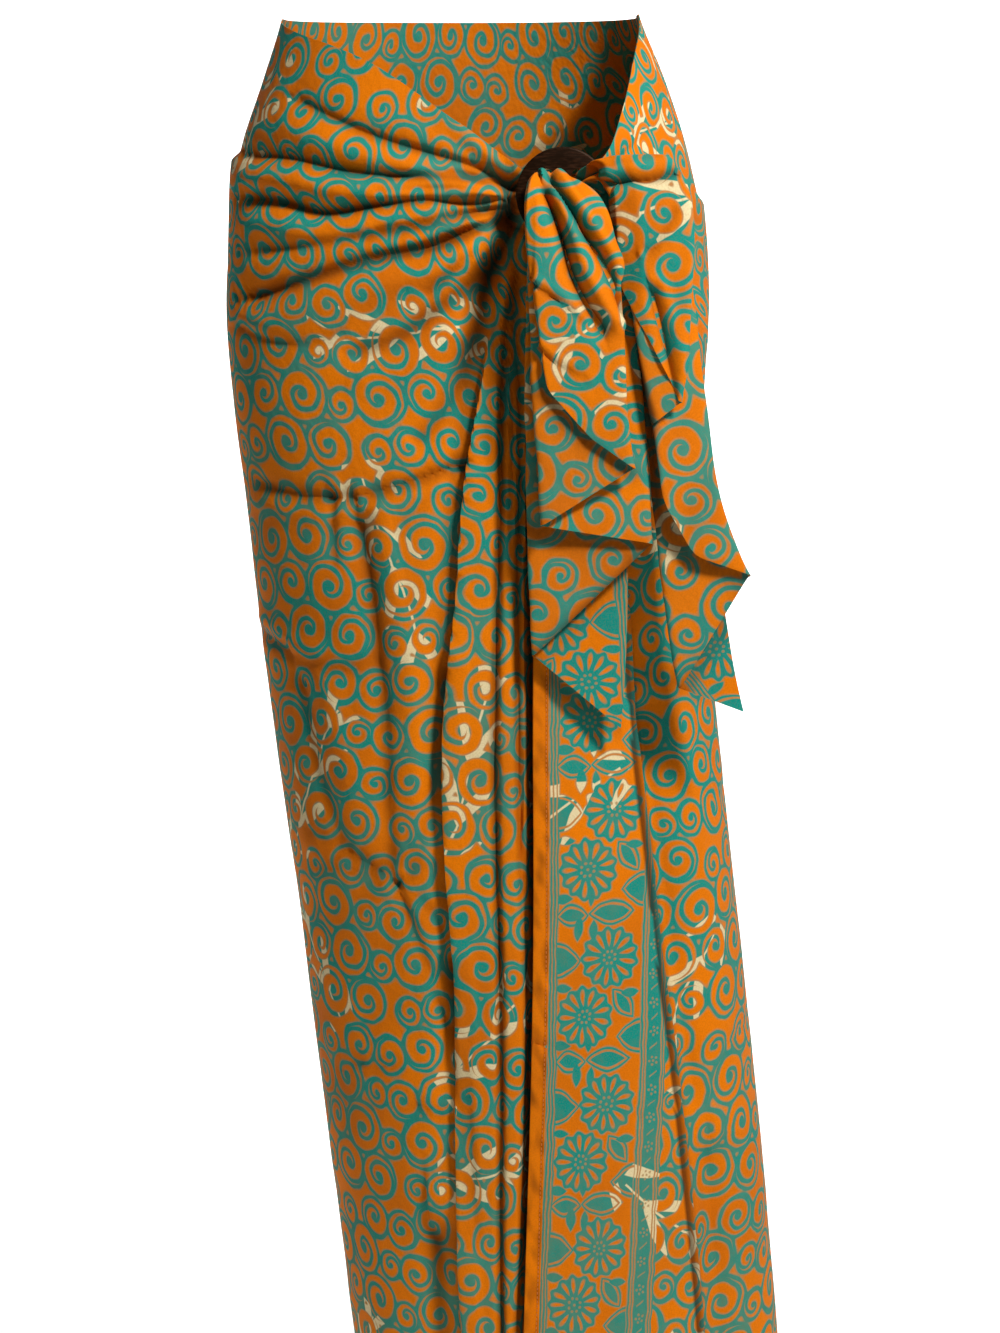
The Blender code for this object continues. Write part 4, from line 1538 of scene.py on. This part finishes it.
@dataclass
class Tail:
    """One corner of the cloth, pulled through the buckle and hanging in zigzag folds.

    Each row is a line down the cloth: a cubic curve from the slot through an elbow and a fall to the free
    edge. It gives a name, the turn, x and z in the slot, x, y and z of the elbow, x and z of the fall, and x,
    y and z of the end. A row with a turn is a fold to that side and becomes three lines round its bend.
    counts has the cells between each line and the next. edge is a point in x and z with the direction of the
    print there.
    """

    name: str
    rows: list[tuple]
    counts: tuple[int, ...]
    form: WornForm
    stand: Callable[[Array, Array, Array], Array]
    seed: int
    edge: tuple[float, float, float, float]
    print_start: tuple[float, float]
    # Edges of the layers in front, below which shadow is painted.
    folded_edges: tuple[Path, ...]
    tail_creases: list[Crease]
    wall: float = 0.7
    depth: float = 4.6
    pitch: float = 1.5
    gap: float = 0.7
    slot_plane: float = -125.0
    fine: int = 5
    steps: int = 84
    bulge: float = 2.4

    def _gather(self, x: float, z: float) -> float:
        """Depth at which the tail leaves the front below it.

        Args:
            x: x of the place.
            z: z of the place.

        Returns:
            y just in front of the cloth there, found by moving the foot of the normal four times.
        """
        foot, level = np.array([x]), np.array([float(z)])
        point = np.zeros((1, 3))
        for _ in range(4):
            angle = self.form.angle_at(foot, level)
            point = self.form.point(angle, level, self.stand(angle, foot, level))
            foot = foot - (point[:, 0] - x)
        return float(point[0, 1]) - self.gap

    def _lines(self) -> Array:
        """Control points of every line, with the three lines of each bend.

        Returns:
            Five points in millimetres for each line.
        """
        lines = []
        for _, turn, sx, sz, ex, ey, ez, fx, fz, px, py, pz in self.rows:
            for k in (-1, 0, 1) if turn else (0,):
                out = turn * (1 - k * k)
                side, shift = out * self.bulge, k * self.depth / 2
                slot_x, slot_z = sx + out, sz - k * self.pitch
                lines.append([
                    (slot_x, self._gather(slot_x, slot_z), slot_z), (slot_x, self.slot_plane, slot_z),
                    (ex + side, ey + shift, ez - k * 2.0), (fx + side, py + shift, fz),
                    (px + side, py + shift, pz - k * 1.0)])
        return np.array(lines, float)

    def grid(self) -> tuple[Array, Array]:
        """Middle surface: lines side by side along the free edge, each a cubic curve down from the slot.

        Returns:
            Grid of points, and the number of the face that each column of cells is on.
        """
        lines = self._lines()
        at = np.array([0.0] + [
            k + m / (count * self.fine) for k, count in enumerate(self.counts)
            for m in range(1, count * self.fine + 1)])
        i = np.minimum(at.astype(int), len(lines) - 2)
        w = (at - i)[:, None, None]
        dense = lines[i] * (1 - w) + lines[i + 1] * w
        kernel = np.array([1, 3, 4, 3, 1], float) / 12
        soft = dense.copy()
        soft[2:-2] = sum(kernel[j] * dense[j:len(dense) - 4 + j] for j in range(5))
        t = (np.linspace(0, 1, self.steps + 1) ** 1.15)[:, None, None]
        front, slot, first, second, last = (soft[:, k] for k in range(5))
        curve = (1 - t) ** 3 * slot + 3 * t * (1 - t) ** 2 * first + 3 * t**2 * (1 - t) * second + t**3 * last
        lead = np.linspace(0, 1, 5)[:-1, None, None]
        return np.concatenate([front * (1 - lead) + slot * lead, curve]), self._faces(at)

    def _faces(self, at: Array) -> Array:
        """Number of the face that each column of cells is on.

        Args:
            at: Place of each column among the lines.

        Returns:
            Numbers counted from the short edge, where each bend starts the next face.
        """
        bends, line = [], 0
        for _, turn, *_ in self.rows:
            if turn:
                bends.append(line + 1)
            line += 3 if turn else 1
        return len(bends) - np.searchsorted(bends, (at[:-1] + at[1:]) / 2)

    def build(self, batik: list[bpy.types.Material]) -> bpy.types.Object:
        """Makes the tail with its wrinkles, its print laid flat on each face, and its painted shade.

        Args:
            batik: Material of the right side, then of the wrong side.

        Returns:
            The tail.
        """
        points, faces = self.grid()
        down = np.linspace(0, 1, len(points))[:, None]
        wave = rumple(arc_along(points, 1) * 1.6, arc_along(points, 0) * 0.35, self.seed, 30, 90)
        wave = wave * 0.55 * ease(down * 2.5)
        outer = np.append(faces, faces[-1])[None, :] == faces.max()
        wave = wave + creased(self.tail_creases, points[..., 0], points[..., 2]) * outer
        points = points + normals_of(points) * wave[..., None]
        x0, z0, dx, dz = self.edge
        size = math.hypot(dx, dz)
        px, pz = points[..., 0] - x0, points[..., 2] - z0
        u0, v0 = self.print_start
        flat = np.stack([(px * dz - pz * dx) / size + u0, (px * dx + pz * dz) / size + v0], axis=-1)
        shift = np.where(faces > 0, 96.0 + 37.0 * faces, 0.0)[None, :] + np.zeros((len(points), 1))
        half_wall = normals_of(points) * self.wall / 2
        # Painted shadow below the folded edges of the layers in front, and painted shade in the wrinkles'
        # troughs.
        painted_shade_mask = np.maximum(under_edges(points, self.folded_edges, 13.0), hollow_of(wave, 3, 2.2))
        return ClothMesh(self.name, points + half_wall, points - half_wall, flat, shift, painted_shade_mask).build(batik)


LEFT_TAIL = [
    ("selvedge_start", 0, 55.0, -113, 43, -142, -110, 42, -132, 44, -152, -152),
    ("selvedge_side", 0, 56.0, -114, 43, -160, -104, 42, -150, 49, -162, -190),
    ("selvedge_low", 0, 57.5, -115, 50, -174, -102, 46, -190, 58, -167, -250),
    ("selvedge_turn", 0, 59.5, -116, 88, -180, -100, 72, -200, 86, -168, -281),
    ("fold_one", 1, 61.0, -118, 118, -176, -108, 96, -225, 112, -166, -300),
    ("fold_two", -1, 55.0, -124, 44, -162, -110, 47, -230, 57, -158, -337),
    ("fold_three", 1, 61.0, -130, 112, -150, -112, 118, -246, 125, -149, -350),
    ("fold_four", -1, 55.0, -136, 44, -146, -124, 44, -280, 51, -141, -424),
    ("short_edge", 0, 61.0, -144, 96, -140, -124, 122, -310, 108, -136, -473),
]
RIGHT_TAIL = [
    ("selvedge_start", 0, 76.5, -113, 92, -140, -98, 97, -116, 99, -147, -146),
    ("selvedge_side", 0, 77.5, -114, 104, -160, -84, 99, -140, 105, -158, -186),
    ("selvedge_low", 0, 79.0, -115, 128, -170, -70, 110, -160, 124, -165, -222),
    ("fold_one", 1, 82.0, -118, 172, -168, -62, 146, -180, 142, -166, -258),
    ("fold_two", -1, 76.0, -124, 110, -160, -88, 108, -200, 127, -160, -272),
    ("edge_middle", 0, 78.5, -126, 140, -156, -74, 116, -230, 133, -159, -322),
    ("edge_low", 0, 80.5, -128, 164, -151, -68, 130, -256, 154, -156, -357),
    ("fold_three", 1, 82.0, -130, 180, -143, -76, 132, -282, 189, -152, -370),
    ("fold_four", -1, 76.0, -136, 122, -146, -98, 118, -300, 147, -142, -445),
    ("short_edge", 0, 82.0, -144, 168, -130, -88, 152, -318, 189, -136, -462),
]
# Folded edges of the tails' layers in x and z: shadow is painted below them on the tails and on the right
# front.
LEFT_TAIL_EDGES = (
    ((57, -250), (69, -266), (86, -281), (112, -300)),
    ((51, -337), (86, -346), (124, -351)),
    ((125, -351), (88, -385), (50, -423)),
    ((50, -424), (74, -450), (108, -474)),
)
RIGHT_TAIL_EDGES = (
    ((127, -270), (134, -330), (154, -357), (189, -370)),
    ((189, -371), (168, -410), (146, -445)),
    ((146, -446), (168, -458), (190, -464)),
    ((108, -205), (120, -240), (128, -268)),
)
LEFT_TAIL_CREASES = [
    ("first_valley", 11.0, 4.4, 0.9, ((56, -122), (66, -152), (75, -182), (98, -222)), 0.4),
    ("second_valley", 9.0, 3.6, 1.0, ((60, -116), (78, -146), (94, -172), (110, -208)), 0.4),
    ("lobe_crease", 3.2, 2.2, 0.6, ((48, -184), (66, -196), (86, -214))),
    ("lobe_low", 2.6, 2.2, 0.4, ((54, -226), (66, -236), (86, -246))),
]
RIGHT_TAIL_CREASES = [
    ("puff_crease", 6.0, 3.8, 0.7, ((93, -122), (108, -119), (124, -118), (146, -112)), 0.5),
    ("slant_crease", 3.4, 2.2, 0.5, ((120, -164), (127, -158), (140, -134))),
    ("long_crease", 3.2, 3.0, 0.5, ((150, -306), (151, -326), (150, -346))),
    ("fall_crease", 5.0, 5.0, 0.7, ((124, -190), (136, -240), (146, -300))),
]


# The studio


@dataclass(frozen=True)
class Studio:
    """Pale floor and backdrop, soft lights and the camera.

    Each light has a name, a place, the point that it faces, its size and its power.
    """

    lens: float = 60.56
    eye: Point = (0.028, -1.6, -0.226)
    tilt: float = 8.0
    lights: tuple[tuple[str, Point, Point, float, float], ...] = (
        ("key", (0.80, -1.25, 0.95), (0.03, 0.0, -0.6), 0.3, 39.5),
        ("fill", (0.2, -2.9, -0.7), (0.0, 0.0, -0.7), 0.8, 5.0),
        ("wash", (0.0, 0.9, 0.9), (0.0, 3.4, 0.2), 1.6, 130.0),
    )
    ambient: float = 0.035
    floor_z: float = -1.235
    floor_start: float = -1.2
    bend_start: float = 2.2
    bend_radius: float = 1.2
    wall_top: float = 6.0
    half_width: float = 8.0
    floor_finish: PlainFinish = PlainFinish("pale_floor", (0.92, 0.92, 0.92), (
        ("Emission Color", (1.0, 1.0, 1.0, 1.0)), ("Emission Strength", 0.3), ("Roughness", 0.9)))

    def build(self) -> None:
        """Makes the camera, lights, world and floor."""
        scene = bpy.context.scene
        scene.view_settings.view_transform = "Standard"
        camera = bpy.data.cameras.new("camera")
        camera.lens = self.lens
        camera.sensor_width = 36.0
        eye = bpy.data.objects.new("camera", camera)
        eye.location = self.eye
        eye.rotation_euler = (math.radians(90 - self.tilt), 0.0, 0.0)
        scene.collection.objects.link(eye)
        scene.camera = eye
        for light in self.lights:
            self._light(*light)
        scene.world = bpy.data.worlds.new("studio")
        scene.world.use_nodes = True
        fill(scene.world.node_tree, scene.world.node_tree.nodes["Background"], {
            0: (1.0, 1.0, 1.0, 1.0), 1: self.ambient})
        self._floor()

    def _light(self, name: str, place: Point, aim: Point, size: float, power: float) -> None:
        """A square soft light that faces a point.

        Args:
            name: Name of the light.
            place: Where it is, in metres.
            aim: Point that it faces.
            size: Length of its side.
            power: Power in watts.
        """
        lamp = bpy.data.lights.new(name, "AREA")
        lamp.size = size
        lamp.energy = power
        body = bpy.data.objects.new(name, lamp)
        body.location = place
        body.rotation_euler = (Vector(aim) - Vector(place)).to_track_quat("-Z", "Y").to_euler()
        bpy.context.scene.collection.objects.link(body)

    def _floor(self) -> None:
        """Floor that curves up into a backdrop.

        Its profile is a straight run, a quarter circle and a wall, carried sideways.
        """
        turn = np.linspace(0, np.pi / 2, 24)
        wall = self.bend_start + self.bend_radius
        run = np.concatenate([[self.floor_start], self.bend_start + self.bend_radius * np.sin(turn), [wall]])
        rise = np.concatenate([[0.0], self.bend_radius - self.bend_radius * np.cos(turn), [self.wall_top]])
        n = len(run)
        x = np.repeat([-self.half_width, self.half_width], n)
        points = np.stack([x, np.tile(run, 2), np.tile(rise, 2) + self.floor_z], axis=1)
        faces = [(k, k + n, k + n + 1, k + 1) for k in range(n - 1)]
        mesh = bpy.data.meshes.new("floor")
        mesh.from_pydata(points.tolist(), [], faces)
        mesh.polygons.foreach_set("use_smooth", np.ones(len(faces), bool))
        mesh.materials.append(self.floor_finish.build())
        place_piece("floor", mesh)


def main() -> None:
    logging.basicConfig(level=logging.INFO, format="%(name)s %(message)s")
    batik = [
        BatikFinish("batik_right_side").build(), BatikFinish("batik_wrong_side", Layer.WRONG_SIDE).build()]
    hem_cloth = BatikFinish("hem_cloth", plain=True).build()
    thread = PlainFinish("orange_thread", (0.62, 0.16, 0.02)).build()
    wrap = Wrap(tail_edges=LEFT_TAIL_EDGES + RIGHT_TAIL_EDGES)
    left, right, back = wrap.build(batik)
    strip, stitches = TurnedHem(wrap).build(hem_cloth, thread)
    left_tail = Tail(
        "left_tail_cloth", LEFT_TAIL, (3, 3, 3, 3, 1, 1, 3, 1, 1, 3, 1, 1, 3, 1, 1, 3), wrap.form,
        wrap.left_height, 31, (108, -473, 0.08, -1.0), (22.0, 301.0), LEFT_TAIL_EDGES,
        creases(LEFT_TAIL_CREASES)).build(batik)
    right_tail = Tail(
        "right_tail_cloth", RIGHT_TAIL, (3, 3, 3, 1, 1, 2, 1, 1, 2, 2, 2, 1, 1, 3, 1, 1, 3), wrap.form,
        wrap.right_height, 37, (145, -447, -0.63, 0.77), (4.0, 263.0), RIGHT_TAIL_EDGES,
        creases(RIGHT_TAIL_CREASES)).build(batik)
    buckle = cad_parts["buckle"]
    buckle.data.materials.clear()
    buckle.data.materials.append(ShellFinish().build())
    for piece, node, slot in (
            (left, "left_front", "batik_cloth"), (right, "right_front", "batik_cloth"),
            (back, "back_wrap", "batik_cloth"), (strip, "hem_strip", "hem_cloth"),
            (left_tail, "left_tail", "batik_cloth"), (right_tail, "right_tail", "batik_cloth")):
        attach(piece, "root")
        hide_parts(node)
    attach(stitches, "root")
    Studio().build()


if __name__ == "__main__":
    main()
